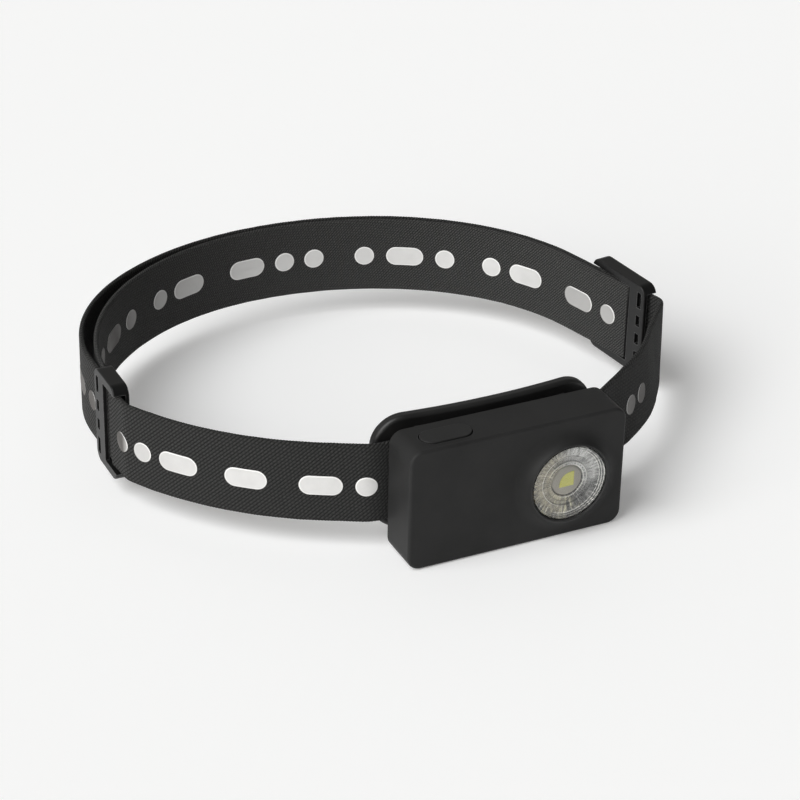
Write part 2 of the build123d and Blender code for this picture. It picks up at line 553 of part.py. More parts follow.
def strap_bracket():
    middle = PLATE_FRONT + PLATE_THICKNESS + PLATE_BEND
    ring = Circle(PLATE_BEND + PLATE_THICKNESS) - Circle(PLATE_BEND)
    bent = along_z(ring, PLATE_X, middle, PLATE_BOTTOM, PLATE_BOTTOM + PLATE_HEIGHT)
    outline = RectangleRounded(PLATE_WIDTH, PLATE_HEIGHT, PLATE_CORNER)
    plate = bent & along_y(outline, PLATE_X, PLATE_BOTTOM + PLATE_HEIGHT / 2, BACK, BACK + 20)
    faces = plate.faces().sort_by(SortBy.AREA)[-2:]
    plate = fillet(faces[0].edges() + faces[1].edges(), PLATE_EDGE_ROUND)
    reach = KNUCKLE_PITCH + KNUCKLE_LENGTH / 2 + KNUCKLE_GAP
    relief = along_x(Circle(KNUCKLE_RADIUS + KNUCKLE_CLEARANCE), HINGE_Y, HINGE_Z, -reach, reach)
    low_z = STRAP_BOTTOM - KEEPER_GAP - KEEPER_TIE
    high_z = STRAP_TOP + KEEPER_GAP + KEEPER_TIE
    front = BACK + KEEPER_GAP
    for side in (-1, 1):
        arm = side * (reach + KNUCKLE_LENGTH / 2)
        plate = plate + knuckle(arm, KNUCKLE_LENGTH)
        back = plate_front_at(side * KEEPER_X) + 1
        bar = Pos(side * KEEPER_X, front + KEEPER_THICKNESS / 2, (low_z + high_z) / 2)
        plate = plate + bar * Box(KEEPER_WIDTH, KEEPER_THICKNESS, high_z - low_z)
        for z in (low_z + KEEPER_TIE / 2, high_z - KEEPER_TIE / 2):
            plate = plate + Pos(side * KEEPER_X, (front + back) / 2, z) * Box(KEEPER_WIDTH, back - front, KEEPER_TIE)
    plate = plate - relief
    return plate - along_x(Circle(PIN_RADIUS), HINGE_Y, HINGE_Z, -LAMP_WIDTH, LAMP_WIDTH)


def tilt_pin():
    half = KNUCKLE_PITCH + KNUCKLE_LENGTH * 1.5 + KNUCKLE_GAP - 0.4
    return along_x(Circle(PIN_RADIUS), HINGE_Y, HINGE_Z, -half, half)


# ---- strap -----------------------------------------------------------------------------------------------
LEFT_CORNER = (-LAMP_WIDTH / 2 - LEFT_RUN, STRAP_Y + LEFT_RISE)
RIGHT_CORNER = (LAMP_WIDTH / 2 + RIGHT_RUN, STRAP_Y + RIGHT_RISE)
LEFT_STRAP_X = LEFT_CORNER[0] - LEFT_SLIDER_OUT
BACK_Y = STRAP_Y + BACK_DEPTH
BACK_RIGHT_REACH = LAMP_WIDTH / 2 + RIGHT_OUT - BACK_X
RIGHT_LINE = 90 + RIGHT_TILT


def rear_layer(inset, slack=0.0, sweep=0.0):
    """Centres of the two rear quarters, their semi-axes and the right quarter's last angle, for one layer."""
    rearmost = BACK_Y - inset - slack
    left = (BACK_X - LEFT_STRAP_X - inset, BACK_LEFT_DEPTH - inset - slack + sweep)
    right = (BACK_RIGHT_REACH - inset, BACK_RIGHT_DEPTH - inset - slack)
    turn = math.degrees(math.atan(math.tan(math.radians(RIGHT_TILT)) * right[1] / right[0]))
    return (BACK_X, rearmost - left[1]), left, (BACK_X, rearmost - right[1]), right, turn


def right_line_start(inset, slack=0.0):
    """Where a layer's right quarter ends and its straight stretch begins."""
    _, _, centre, axes, turn = rear_layer(inset, slack)
    return (centre[0] + axes[0] * math.cos(math.radians(turn)), centre[1] + axes[1] * math.sin(math.radians(turn)))


def right_line_point(inset, y):
    return meet(right_line_start(inset), RIGHT_LINE, (0, y), 0)


def ribbon(path):
    return extrude(Pos(0, 0, STRAP_BOTTOM) * trace(path, STRAP_THICKNESS), STRAP_WIDTH)


CLAMP_REACH = END_BAR + BAR_SLOT + MIDDLE_BAR    # clamping end of a slider to the far edge of its middle bar
RIGHT_COS = math.cos(math.radians(RIGHT_SLIDER_TURN))
LEFT_FRONT_END = BACK + LEFT_SLIDER_Y - LEFT_SLIDER_LENGTH / 2
RIGHT_FRONT_END = BACK + RIGHT_SLIDER_Y - RIGHT_SLIDER_LENGTH / 2 * RIGHT_COS
LEFT_JOIN = BACK + LEFT_SLIDER_Y + LEFT_SLIDER_LENGTH / 2 - CLAMP_REACH + MIDDLE_BAR / 2
RIGHT_JOIN = BACK + RIGHT_SLIDER_Y - RIGHT_JOIN_BACK
LEFT_INNER_END = LEFT_FRONT_END + FAR_BAR + LAYER_END_GAP
RIGHT_INNER_END = RIGHT_FRONT_END + CLAMP_REACH * RIGHT_COS + 2 * LAYER_END_GAP


def front_strap():
    left_exit = meet(LEFT_CORNER, 180 - LEFT_ANGLE, (0, STRAP_Y), 0)
    right_exit = meet(RIGHT_CORNER, RIGHT_ANGLE, (0, STRAP_Y), 0)
    left_kink = meet(LEFT_CORNER, 180 - LEFT_STEEP, (LEFT_STRAP_X, 0), 90)
    right_kink = meet(RIGHT_CORNER, RIGHT_STEEP, right_line_start(0), RIGHT_LINE)
    path = FilletPolyline(
        (LEFT_STRAP_X, LEFT_JOIN),
        left_kink,
        LEFT_CORNER,
        left_exit,
        right_exit,
        RIGHT_CORNER,
        right_kink,
        right_line_point(0, RIGHT_JOIN),
        radius=[LEFT_SLIDER_BEND, LEFT_BEND, LAMP_BEND, LAMP_BEND, RIGHT_BEND, RIGHT_SLIDER_BEND],
    )
    return ribbon(path)


def rear_strap(inset, left_end, right_end, slack=0.0, sweep=0.0):
    left_centre, left_axes, right_centre, right_axes, turn = rear_layer(inset, slack, sweep)
    left_x = left_centre[0] - left_axes[0]
    start = right_line_start(inset, slack)
    path = Line((left_x, left_end), (left_x, left_centre[1]))
    path += EllipticalCenterArc(left_centre, *left_axes, start_angle=90, arc_size=90)
    path += EllipticalCenterArc(right_centre, *right_axes, start_angle=turn, arc_size=90 - turn)
    path += Line(start, meet(start, RIGHT_LINE, (0, right_end), 0))
    return ribbon(path)


# ---- sliders ---------------------------------------------------------------------------------------------
def slider(length, clamp_end):
    """Two rails and their bars, in its own frame. The end bar, three rungs and the middle bar lie on the -X face
    towards the clamping end (+1 or -1 along Y), and one bar lies on the +X face at the other end."""
    middle_z = STRAP_MIDDLE_Z - SLIDER_DROP
    window = STRAP_WIDTH + 2 * SLIDER_WINDOW_GAP
    height = window + 2 * SLIDER_RAIL
    outline = RectangleRounded(length, height, SLIDER_CORNER)
    block = along_x(outline, 0, middle_z, -SLIDER_THICKNESS / 2, SLIDER_THICKNESS / 2)
    block = fillet(block.faces().filter_by(Axis.X).edges(), SLIDER_EDGE_ROUND)
    frame = block - Pos(0, 0, STRAP_MIDDLE_Z) * Box(SLIDER_THICKNESS + 2, length + 2, window)
    face = (SLIDER_THICKNESS - BAR_THICKNESS) / 2
    end = length / 2
    bars = (
        (-face, clamp_end * (end - END_BAR / 2), END_BAR),
        (-face, clamp_end * (end - CLAMP_REACH + MIDDLE_BAR / 2), MIDDLE_BAR),
        (face, clamp_end * (FAR_BAR / 2 - end), FAR_BAR),
    )
    for x, y, width in bars:
        frame = frame + (block & Pos(x, y, middle_z) * Box(BAR_THICKNESS, width, height))
    for number in (-1, 0, 1):
        rung = Pos(-face, clamp_end * (end - END_BAR - BAR_SLOT / 2), STRAP_MIDDLE_Z + number * RUNG_PITCH)
        frame = frame + rung * Box(BAR_THICKNESS, BAR_SLOT + 0.1, RUNG_HEIGHT)
    return frame


def left_slider():
    return Pos(LEFT_STRAP_X + LEFT_SLIDER_IN, BACK + LEFT_SLIDER_Y, 0) * slider(LEFT_SLIDER_LENGTH, 1)


def right_slider():
    turn = math.radians(RIGHT_SLIDER_TURN)
    front_x = right_line_point(0, RIGHT_FRONT_END)[0] - RIGHT_SLIDER_IN
    x = front_x - RIGHT_SLIDER_LENGTH / 2 * math.sin(turn)
    return Pos(x, BACK + RIGHT_SLIDER_Y, 0) * Rot(0, 0, RIGHT_SLIDER_TURN) * slider(RIGHT_SLIDER_LENGTH, -1)


# ---- write every piece -----------------------------------------------------------------------------------
PIECES = {
    "front_housing": front_housing,
    "rear_cover": rear_cover,
    "cover_seal": cover_seal,
    "cover_screws": cover_screws,
    "lens_seal": lens_seal,
    "lens_optic": lens_optic,
    "lens_holder": lens_holder,
    "led_board": led_board,
    "led_base": led_base,
    "led_phosphor": led_phosphor,
    "led_dome": led_dome,
    "thermal_pad": thermal_pad,
    "main_board": main_board,
    "driver_chips": driver_chips,
    "battery": battery,
    "battery_tape": battery_tape,
    "battery_tabs": battery_tabs,
    "mode_switch": mode_switch,
    "switch_plunger": switch_plunger,
    "power_button": power_button,
    "usb_receptacle": usb_receptacle,
    "usb_tongue": usb_tongue,
    "usb_cover": usb_cover,
    "usb_cover_anchor": usb_cover_anchor,
    "strap_bracket": strap_bracket,
    "tilt_pin": tilt_pin,
    "front_strap": front_strap,
    "rear_strap_outer": lambda: rear_strap(0, LEFT_JOIN, RIGHT_JOIN),
    "rear_strap_inner": lambda: rear_strap(LAYER_STEP, LEFT_INNER_END, RIGHT_INNER_END, INNER_SLACK, INNER_LEFT_SWEEP),
    "left_slider": left_slider,
    "right_slider": right_slider,
}

os.makedirs("parts", exist_ok=True)
for node, make in PIECES.items():
    export_step(make(), f"parts/{node}.step")
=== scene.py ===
"""The looks of a small headlamp on an elastic head strap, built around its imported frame, in metres."""

import math

import bpy
import numpy as np
from mathutils import Matrix, Vector


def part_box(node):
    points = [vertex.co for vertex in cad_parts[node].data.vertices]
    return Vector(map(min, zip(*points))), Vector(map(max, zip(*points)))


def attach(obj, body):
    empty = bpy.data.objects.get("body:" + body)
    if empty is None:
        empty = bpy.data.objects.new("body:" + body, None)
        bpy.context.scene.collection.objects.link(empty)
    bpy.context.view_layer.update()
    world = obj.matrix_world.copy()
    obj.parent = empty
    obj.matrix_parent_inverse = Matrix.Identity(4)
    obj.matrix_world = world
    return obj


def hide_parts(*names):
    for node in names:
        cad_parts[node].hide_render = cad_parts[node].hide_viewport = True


bl_info = {
    "name": "Headlamp looks",
    "version": (1, 0, 0),
    "blender": (4, 5, 0),
    "location": "View3D > Sidebar > Headlamp",
    "description": "Builds the webbing, printed marks, optic, finishes and studio of a small headlamp",
    "category": "Object",
}

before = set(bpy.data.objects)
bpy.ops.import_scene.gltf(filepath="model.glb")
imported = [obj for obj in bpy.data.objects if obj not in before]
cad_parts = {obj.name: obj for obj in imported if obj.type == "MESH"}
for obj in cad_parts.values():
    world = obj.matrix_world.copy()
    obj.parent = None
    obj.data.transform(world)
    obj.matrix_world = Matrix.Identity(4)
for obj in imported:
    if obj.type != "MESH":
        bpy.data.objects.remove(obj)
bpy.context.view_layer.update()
MM = 0.001

# ---- places that follow the frame -----------------------------------------------------------------
STRAP_LOW, STRAP_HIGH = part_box("front_strap")
LENS_LOW, LENS_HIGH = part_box("lens_optic")
LENS_CENTRE = (LENS_LOW + LENS_HIGH) / 2
STRAP_WIDTH = STRAP_HIGH.z - STRAP_LOW.z


# ---- paths of the webbing, in plan ----------------------------------------------------------------
def along(points, step):
    """The same line with its points spaced evenly, one step apart: each coordinate is read off against the length
    run so far."""
    run = np.concatenate([[0.0], np.cumsum(np.linalg.norm(np.diff(points, axis=0), axis=1))])
    places = np.linspace(0.0, run[-1], max(8, int(round(run[-1] / step)) + 1))
    return np.column_stack([np.interp(places, run, points[:, 0]), np.interp(places, run, points[:, 1])]), places


def rounded_run(corners, radii):
    """Straight runs between the corners, each corner replaced by an arc that touches both runs: its centre is one
    radius to the side of the turn."""
    corners = [np.array(c, float) for c in corners]
    points = [corners[0]]
    for before, corner, after, radius in zip(corners, corners[1:], corners[2:], radii):
        inward = (corner - before) / np.linalg.norm(corner - before)
        onward = (after - corner) / np.linalg.norm(after - corner)
        turn = math.atan2(inward[0] * onward[1] - inward[1] * onward[0], inward @ onward)
        start = corner - inward * radius * math.tan(abs(turn) / 2)
        side = math.copysign(1.0, turn)
        centre = start + side * radius * np.array([-inward[1], inward[0]])
        angle = math.atan2(start[1] - centre[1], start[0] - centre[0]) + np.linspace(0, turn, 48)
        points.extend(np.column_stack([centre[0] + radius * np.cos(angle), centre[1] + radius * np.sin(angle)]))
    points.append(corners[-1])
    return np.array(points)


def crossing(point, angle, other, other_angle):
    """Where two lines in plan cross, each given by a point and its angle from X in degrees."""
    a = np.array([math.cos(math.radians(angle)), math.sin(math.radians(angle))])
    b = np.array([math.cos(math.radians(other_angle)), math.sin(math.radians(other_angle))])
    shift = np.array(other, float) - np.array(point, float)
    return np.array(point, float) + a * (shift[0] * b[1] - shift[1] * b[0]) / (a[0] * b[1] - a[1] * b[0])


# All in millimetres and degrees, on the middle line of a layer, seen from above.
STRAP_Y = 9.2  # the straight run behind the lamp
LEFT_X = -91.25  # the straight run at the left slider
LEFT_BEND = (-76.0, 29.2)  # where the left side turns from one slant to the next
LEFT_ANGLES = (27.2, 61.6)  # those two slants
RIGHT_BEND = (65.2, 29.3)
RIGHT_ANGLES = (31.2, 57.8)
FRONT_RADII = (5, 99, 12, 12, 100, 5)  # bend radii of the front layer, from left to right
BACK_X = -14.0  # the rearmost point
BACK_Y = 148.5
LEFT_DEPTH = 62.5  # how far in front of it each quarter ends
RIGHT_DEPTH = 73.3
RIGHT_REACH = 86.15  # how far to its right the strap goes
RIGHT_TILT = 15.0  # slant of the straight run at the right slider
LEFT_JOIN = 72.6  # where the front layer meets the outer one, on each side
RIGHT_JOIN = 67.15
LAYER_STEP = 1.6  # from the outer rear layer to the inner one
INNER_SLACK = 0.65  # the inner layer stands this much further in at the back
INNER_SWEEP = 11.2  # and its left quarter is this much deeper
INNER_ENDS = (63.7, 64.75)  # its ends, left and right
# How far the front layer leans and stands out: (distance along it, amount).
FRONT_LEAN = ((0, 0), (162, 0), (178, 1.05), (205, 1.5), (216, 0.9), (225, 0))
FRONT_SHIFT = (
    ((0, 0), (3.6, 0), (5.9, 0.75), (9, 0.45), (15, 0)) + ((196, -0.1), (207, -0.8), (216, -0.5), (223, 0))
)


def rear_curve(inset, slack=0.0, sweep=0.0):
    """Two quarters of ellipses that share the rearmost point, set in by a distance, and the angle where the right
    one turns straight."""
    top = BACK_Y - inset - slack
    left = (BACK_X - LEFT_X - inset, LEFT_DEPTH - inset - slack + sweep)
    right = (RIGHT_REACH - inset, RIGHT_DEPTH - inset - slack)
    turn = math.atan(math.tan(math.radians(RIGHT_TILT)) * right[1] / right[0])
    start = (BACK_X + right[0] * math.cos(turn), top - right[1] + right[1] * math.sin(turn))
    return left, right, turn, start, top


def front_path():
    """The front layer from the left slider, through the bracket, to the right slider."""
    straight = rear_curve(0)[3]
    corners = [
        (LEFT_X, LEFT_JOIN),
        crossing(LEFT_BEND, 180 - LEFT_ANGLES[1], (LEFT_X, 0), 90),
        LEFT_BEND,
        crossing(LEFT_BEND, 180 - LEFT_ANGLES[0], (0, STRAP_Y), 0),
        crossing(RIGHT_BEND, RIGHT_ANGLES[0], (0, STRAP_Y), 0),
        RIGHT_BEND,
        crossing(RIGHT_BEND, RIGHT_ANGLES[1], straight, 90 + RIGHT_TILT),
        crossing(straight, 90 + RIGHT_TILT, (0, RIGHT_JOIN), 0),
    ]
    return rounded_run(corners, FRONT_RADII)


def rear_path(inset, left_end, right_end, slack=0.0, sweep=0.0):
    """One rear layer from the left slider round the back to the right slider: a straight run, the two quarters, a
    straight run."""
    left, right, turn, start, top = rear_curve(inset, slack, sweep)
    first = np.linspace(math.pi, math.pi / 2, 400)
    second = np.linspace(math.pi / 2, turn, 400)[1:]
    points = [
        [(BACK_X - left[0], left_end)],
        np.column_stack([BACK_X + left[0] * np.cos(first), top - left[1] + left[1] * np.sin(first)]),
        np.column_stack([BACK_X + right[0] * np.cos(second), top - right[1] + right[1] * np.sin(second)]),
        [crossing(start, 90 + RIGHT_TILT, (0, right_end), 0)],
    ]
    return np.vstack(points)


class Path:
    """A line in plan with its length run and its outward direction, read at any place along it, and how far the
    webbing is shifted outwards and leans at each place."""

    def __init__(self, points, outward, step=0.25, shift=((0, 0),), lean=((0, 0),)):
        self.shift, self.lean = np.array(shift, float), np.array(lean, float)
        self.points, self.run = along(points, step)
        direction = np.gradient(self.points, axis=0)
        direction /= np.linalg.norm(direction, axis=1)[:, None]
        self.normal = outward * np.column_stack([direction[:, 1], -direction[:, 0]])
        self.length = self.run[-1]

    def place(self, run, out, height, width):
        """Points in metres at these places along the line, this far outwards and this high: plan point + outward
        direction x (distance + shift - lean x height from the middle / half the width)."""
        up = (height - STRAP_LOW.z / MM - width / 2) / (width / 2)
        out = out + np.interp(run, *self.shift.T) - up * np.interp(run, *self.lean.T)
        x = np.interp(run, self.run, self.points[:, 0]) + out * np.interp(run, self.run, self.normal[:, 0])
        y = np.interp(run, self.run, self.points[:, 1]) + out * np.interp(run, self.run, self.normal[:, 1])
        return np.stack([x, y, np.broadcast_to(height, x.shape)], axis=-1) * MM


# ---- meshes ---------------------------------------------------------------------------------------
def grid_faces(rows, columns, wrap_rows=False, wrap_columns=True):
    """Four-cornered faces between neighbouring grid points, as one array."""
    r = np.arange(rows if wrap_rows else rows - 1)
    c = np.arange(columns if wrap_columns else columns - 1)
    r0, c0 = [m.ravel() for m in np.meshgrid(r, c, indexing="ij")]
    r1, c1 = (r0 + 1) % rows, (c0 + 1) % columns
    return np.column_stack([r0 * columns + c0, r1 * columns + c0, r1 * columns + c1, r0 * columns + c1])


def loft(name, rings, uv=None):
    """A closed form from rings of points: neighbours are joined by faces, the end rings by one flat face each, and
    the faces are turned outwards."""
    rows, columns = rings.shape[:2]
    points = rings.reshape(-1, 3)
    quads = grid_faces(rows, columns)
    centre = points.mean(0)
    a, b, c, d = [points[quads[:, i]] - centre for i in range(4)]
    volume = np.einsum("ij,ij->i", np.cross(c - a, d - b), a + b + c + d).sum()
    faces = quads.tolist()
    faces.append(list(range(columns)))
    faces.append(list(range((rows - 1) * columns, rows * columns))[::-1])
    if volume < 0:
        faces = [f[::-1] for f in faces]
    mesh = bpy.data.meshes.new(name)
    mesh.from_pydata(points.tolist(), [], faces)
    mesh.shade_smooth()
    if uv is not None:
        flat = uv.reshape(-1, 2)
        corner = np.zeros(len(mesh.loops), np.int32)
        mesh.loops.foreach_get("vertex_index", corner)
        layer = mesh.uv_layers.new(name="cloth")
        layer.data.foreach_set("uv", flat[corner].astype(np.float32).ravel())
    mesh.validate()
    mesh.update()
    piece = bpy.data.objects.new(name, mesh)
    bpy.context.scene.collection.objects.link(piece)
    return piece


def turned(profile, segments=192, ripple=None):
    """Rings about the lens axis from a profile of (radius, depth) in mm: x = radius x cos, z = radius x sin, y = the
    face + depth + ripple."""
    profile = np.array(profile, float)
    angle = np.linspace(0, 2 * math.pi, segments, endpoint=False)
    radius = np.repeat(profile[:, :1], segments, axis=1)
    depth = np.repeat(profile[:, 1:2], segments, axis=1)
    if ripple is not None:
        depth = depth + ripple(radius, angle[None, :])
    x = LENS_CENTRE.x + radius * np.cos(angle) * MM
    z = LENS_CENTRE.z + radius * np.sin(angle) * MM
    y = LENS_LOW.y + depth * MM
    return np.stack([x, y, z], axis=-1)


def smooth_step(low, high, value):
    t = np.clip((value - low) / (high - low), 0, 1)
    return t * t * (3 - 2 * t)


# ---- shader nodes ---------------------------------------------------------------------------------
def add(tree, kind, inputs=None, **settings):
    """A node with its settings and inputs: an input is a value, or an output socket to link."""
    node = tree.nodes.new(kind)
    for key, value in settings.items():
        setattr(node, key, value)
    for key, value in (inputs or {}).items():
        if isinstance(value, bpy.types.NodeSocket):
            tree.links.new(value, node.inputs[key])
        else:
            node.inputs[key].default_value = value
    return node


def maths(tree, operation, a, b=0.0, clamp=False):
    return add(tree, "ShaderNodeMath", {0: a, 1: b}, operation=operation, use_clamp=clamp).outputs[0]


def times(tree, a, b, clamp=False):
    return maths(tree, "MULTIPLY", a, b, clamp)


def blend(tree, factor, a, b):
    """Colour a where the factor is 0 and colour b where it is 1."""
    node = add(tree, "ShaderNodeMix", data_type="RGBA")
    for socket, value in ((node.inputs[0], factor), (node.inputs[6], a), (node.inputs[7], b)):
        if isinstance(value, bpy.types.NodeSocket):
            tree.links.new(value, socket)
        else:
            socket.default_value = value
    return node.outputs[2]


def spread(tree, value, low, high, to_low=0.0, to_high=1.0):
    """The value moved from one range to another, and kept inside it."""
    return add(
        tree, "ShaderNodeMapRange", {0: value, 1: low, 2: high, 3: to_low, 4: to_high}, clamp=True
    ).outputs[0]


def noise(tree, where, scale, detail, roughness=0.5):
    """Cloudy values about one half."""
    inputs = {"Vector": where, "Scale": scale, "Detail": detail, "Roughness": roughness}
    return add(tree, "ShaderNodeTexNoise", inputs).outputs[0]


def group(name, inputs, outputs):
    """An empty node group with named float and vector sockets; returns the tree and its two end nodes."""
    tree = bpy.data.node_groups.new(name, "ShaderNodeTree")
    kinds = {"F": "NodeSocketFloat", "V": "NodeSocketVector"}
    for label, kind, value in inputs:
        socket = tree.interface.new_socket(name=label, in_out="INPUT", socket_type=kinds[kind])
        if value is not None:
            socket.default_value = value
    for label, kind in outputs:
        tree.interface.new_socket(name=label, in_out="OUTPUT", socket_type=kinds[kind])
    return tree, tree.nodes.new("NodeGroupInput"), tree.nodes.new("NodeGroupOutput")


def use(tree, name, inputs):
    node = tree.nodes.new("ShaderNodeGroup")
    node.node_tree = GROUPS[name]
    for key, value in inputs.items():
        if isinstance(value, bpy.types.NodeSocket):
            tree.links.new(value, node.inputs[key])
        else:
            node.inputs[key].default_value = value
    return node.outputs


GROUPS = {}


def moulded_grain():
    """Moulded skin: fine grain over broad cloudiness. Height is the grain, Tone the cloudiness from 0 to 1."""
    tree, come, go = group(
        "Moulded grain",
        [("Vector", "V", None), ("Grain", "F", 5500.0), ("Cloud", "F", 60.0)],
        [("Height", "F"), ("Tone", "F")],
    )
    fine = noise(tree, come.outputs[0], come.outputs[1], 3.0, 0.6)
    broad = noise(tree, come.outputs[0], come.outputs[2], 4.0, 0.55)
    tree.links.new(fine, go.inputs[0])
    tree.links.new(spread(tree, broad, 0.3, 0.7), go.inputs[1])
    return tree


def edge_polish():
    """How near a sharp edge is, from 0 to 1: one minus the agreement of the true normal with the normal rounded
    over a radius."""
    tree, come, go = group("Edge polish", [("Radius", "F", 0.0004), ("Vector", "V", None)], [("Mask", "F")])
    rounded = add(tree, "ShaderNodeBevel", {"Radius": come.outputs[0]}, samples=4)
    plain = add(tree, "ShaderNodeNewGeometry")
    normals = {0: rounded.outputs[0], 1: plain.outputs["Normal"]}
    agree = add(tree, "ShaderNodeVectorMath", normals, operation="DOT_PRODUCT")
    patchy = noise(tree, come.outputs[1], 400.0, 2.0)
    edge = spread(tree, agree.outputs["Value"], 1.0, 0.86)
    tree.links.new(times(tree, edge, spread(tree, patchy, 0.25, 0.6, 0.3, 1.0)), go.inputs[0])
    return tree


def webbing_weave():
    """Twill of elastic webbing. Across = v cos a - u sin a counts the ribs, Along = u cos a + v sin a counts the
    beads on each rib, and every second rib has its beads moved by a half. Height = rib swell x bead swell."""
    tree, come, go = group(
        "Webbing weave",
        [
            ("Vector", "V", None),
            ("Rib pitch", "F", 0.62),
            ("Bead pitch", "F", 0.95),
            ("Angle", "F", 0.66),
            ("Fuzz", "F", 0.35),
        ],
        [("Height", "F"), ("Tone", "F")],
    )
    wobble = noise(tree, come.outputs[0], 0.9, 2.0)
    split = add(tree, "ShaderNodeSeparateXYZ", {0: come.outputs[0]})
    shift = times(tree, maths(tree, "SUBTRACT", wobble, 0.5), 0.35)
    u = maths(tree, "ADD", split.outputs[0], shift)
    v = maths(tree, "ADD", split.outputs[1], shift)
    sine, cosine = maths(tree, "SINE", come.outputs[3]), maths(tree, "COSINE", come.outputs[3])
    across = maths(tree, "SUBTRACT", times(tree, v, cosine), times(tree, u, sine))
    length = maths(tree, "ADD", times(tree, u, cosine), times(tree, v, sine))
    rib = maths(tree, "DIVIDE", across, come.outputs[1])
    row = maths(tree, "FLOOR", rib)
    in_rib = maths(tree, "SINE", times(tree, maths(tree, "FRACT", rib), math.pi))
    bead = maths(tree, "ADD", maths(tree, "DIVIDE", length, come.outputs[2]), times(tree, row, 0.5))
    in_bead = maths(tree, "SINE", times(tree, maths(tree, "FRACT", bead), math.pi))
    swell = times(tree, maths(tree, "POWER", in_rib, 0.7), spread(tree, in_bead, 0.0, 1.0, 0.55, 1.0))
    fibre = noise(tree, come.outputs[0], 5.0, 4.0, 0.7)
    fuzz = times(tree, maths(tree, "SUBTRACT", fibre, 0.5), come.outputs[4])
    tree.links.new(maths(tree, "ADD", swell, fuzz), go.inputs[0])
    patch = noise(tree, come.outputs[0], 1.6, 3.0, 0.65)
    worn = spread(tree, patch, 0.3, 0.75, 0.6, 1.15)
    tone = times(tree, maths(tree, "ADD", swell, fuzz), worn, clamp=True)
    tree.links.new(tone, go.inputs[1])
    return tree


def material(name):
    made = bpy.data.materials.new(name)
    made.use_nodes = True
    tree = made.node_tree
    return made, tree, tree.nodes["Principled BSDF"]


def coordinates(tree, which="Object"):
    return add(tree, "ShaderNodeTexCoord").outputs[which]


def moulded(
    name,
    colour,
    roughness,
    grain=0.5,
    grain_scale=5500.0,
    edge=0.35,
    edge_radius=0.4 * MM,
    lift=1.25,
    shine=0.5,
    painted_glint=0.01,
):
    """A moulded plastic or rubber finish: cloudy tone, fine grain, edges smoother and lighter by a painted
    highlight, raised by a set amount on top. Lift is how much lighter the pale clouds are, shine the strength of the
    reflection."""
    made, tree, skin = material(name)
    skin.inputs["Specular IOR Level"].default_value = shine
    where = coordinates(tree)
    height, tone = use(tree, "Moulded grain", {"Vector": where, "Grain": grain_scale})
    mask = use(tree, "Edge polish", {"Vector": where, "Radius": edge_radius})[0]
    dark = tuple(c * 0.88 for c in colour) + (1.0,)
    light = tuple(c * lift for c in colour) + (1.0,)
    # Painted highlight along the edges: the edge colour is the body's, almost doubled and lifted by a set amount.
    worn = tuple(c * 1.9 + painted_glint for c in colour) + (1.0,)
    base = blend(tree, tone, dark, light)
    tree.links.new(blend(tree, times(tree, mask, edge), base, worn), skin.inputs["Base Color"])
    rough = spread(tree, tone, 0.0, 1.0, roughness - 0.04, roughness + 0.04)
    tree.links.new(maths(tree, "SUBTRACT", rough, times(tree, mask, 0.1 * edge)), skin.inputs["Roughness"])
    bump = add(tree, "ShaderNodeBump", {"Height": height, "Distance": 0.02 * MM, "Strength": grain})
    tree.links.new(bump.outputs[0], skin.inputs["Normal"])
    return made


def bare_metal(name, colour, roughness, scratch=900.0):
    """A plain metal: long fine scratches in its roughness and its bump."""
    made, tree, skin = material(name)
    long_way = (scratch, scratch, scratch * 0.05)
    stretch = add(tree, "ShaderNodeMapping", {"Vector": coordinates(tree), "Scale": long_way})
    lines = noise(tree, stretch.outputs[0], 1.0, 4.0)
    skin.inputs["Metallic"].default_value = 1.0
    dark = tuple(c * 0.8 for c in colour) + (1.0,)
    tree.links.new(blend(tree, lines, dark, tuple(colour) + (1.0,)), skin.inputs["Base Color"])
    tree.links.new(spread(tree, lines, 0.3, 0.7, roughness - 0.06, roughness + 0.08), skin.inputs["Roughness"])
    bump = add(tree, "ShaderNodeBump", {"Height": lines, "Distance": 0.01 * MM, "Strength": 0.3})
    tree.links.new(bump.outputs[0], skin.inputs["Normal"])
    return made


def woven(name, colour, angle, rib_pitch, bead_pitch):
    """Elastic webbing: the yarn's colour with painted shade in the grooves and lighter on the ribs, the weave as
    bump, and a soft sheen.
    """
    made, tree, skin = material(name)
    height, tone = use(
        tree,
        "Webbing weave",
        {"Vector": coordinates(tree, "UV"), "Angle": angle, "Rib pitch": rib_pitch, "Bead pitch": bead_pitch},
    )
    # Painted shade: the colour follows the weave's height, near black in the grooves and a little lighter than the
    # yarn on the ribs.
    painted_groove_shade = tuple(c * 0.06 for c in colour) + (1.0,)
    crest = tuple(c * 1.15 for c in colour) + (1.0,)
    tree.links.new(blend(tree, tone, painted_groove_shade, crest), skin.inputs["Base Color"])
    tree.links.new(spread(tree, tone, 0.0, 1.0, 0.95, 0.72), skin.inputs["Roughness"])
    skin.inputs["Sheen Weight"].default_value = 0.03
    skin.inputs["Sheen Roughness"].default_value = 0.5
    skin.inputs["Specular IOR Level"].default_value = 0.2
    bump = add(tree, "ShaderNodeBump", {"Height": height, "Distance": 0.3 * MM, "Strength": 0.9})
    tree.links.new(bump.outputs[0], skin.inputs["Normal"])
    return made


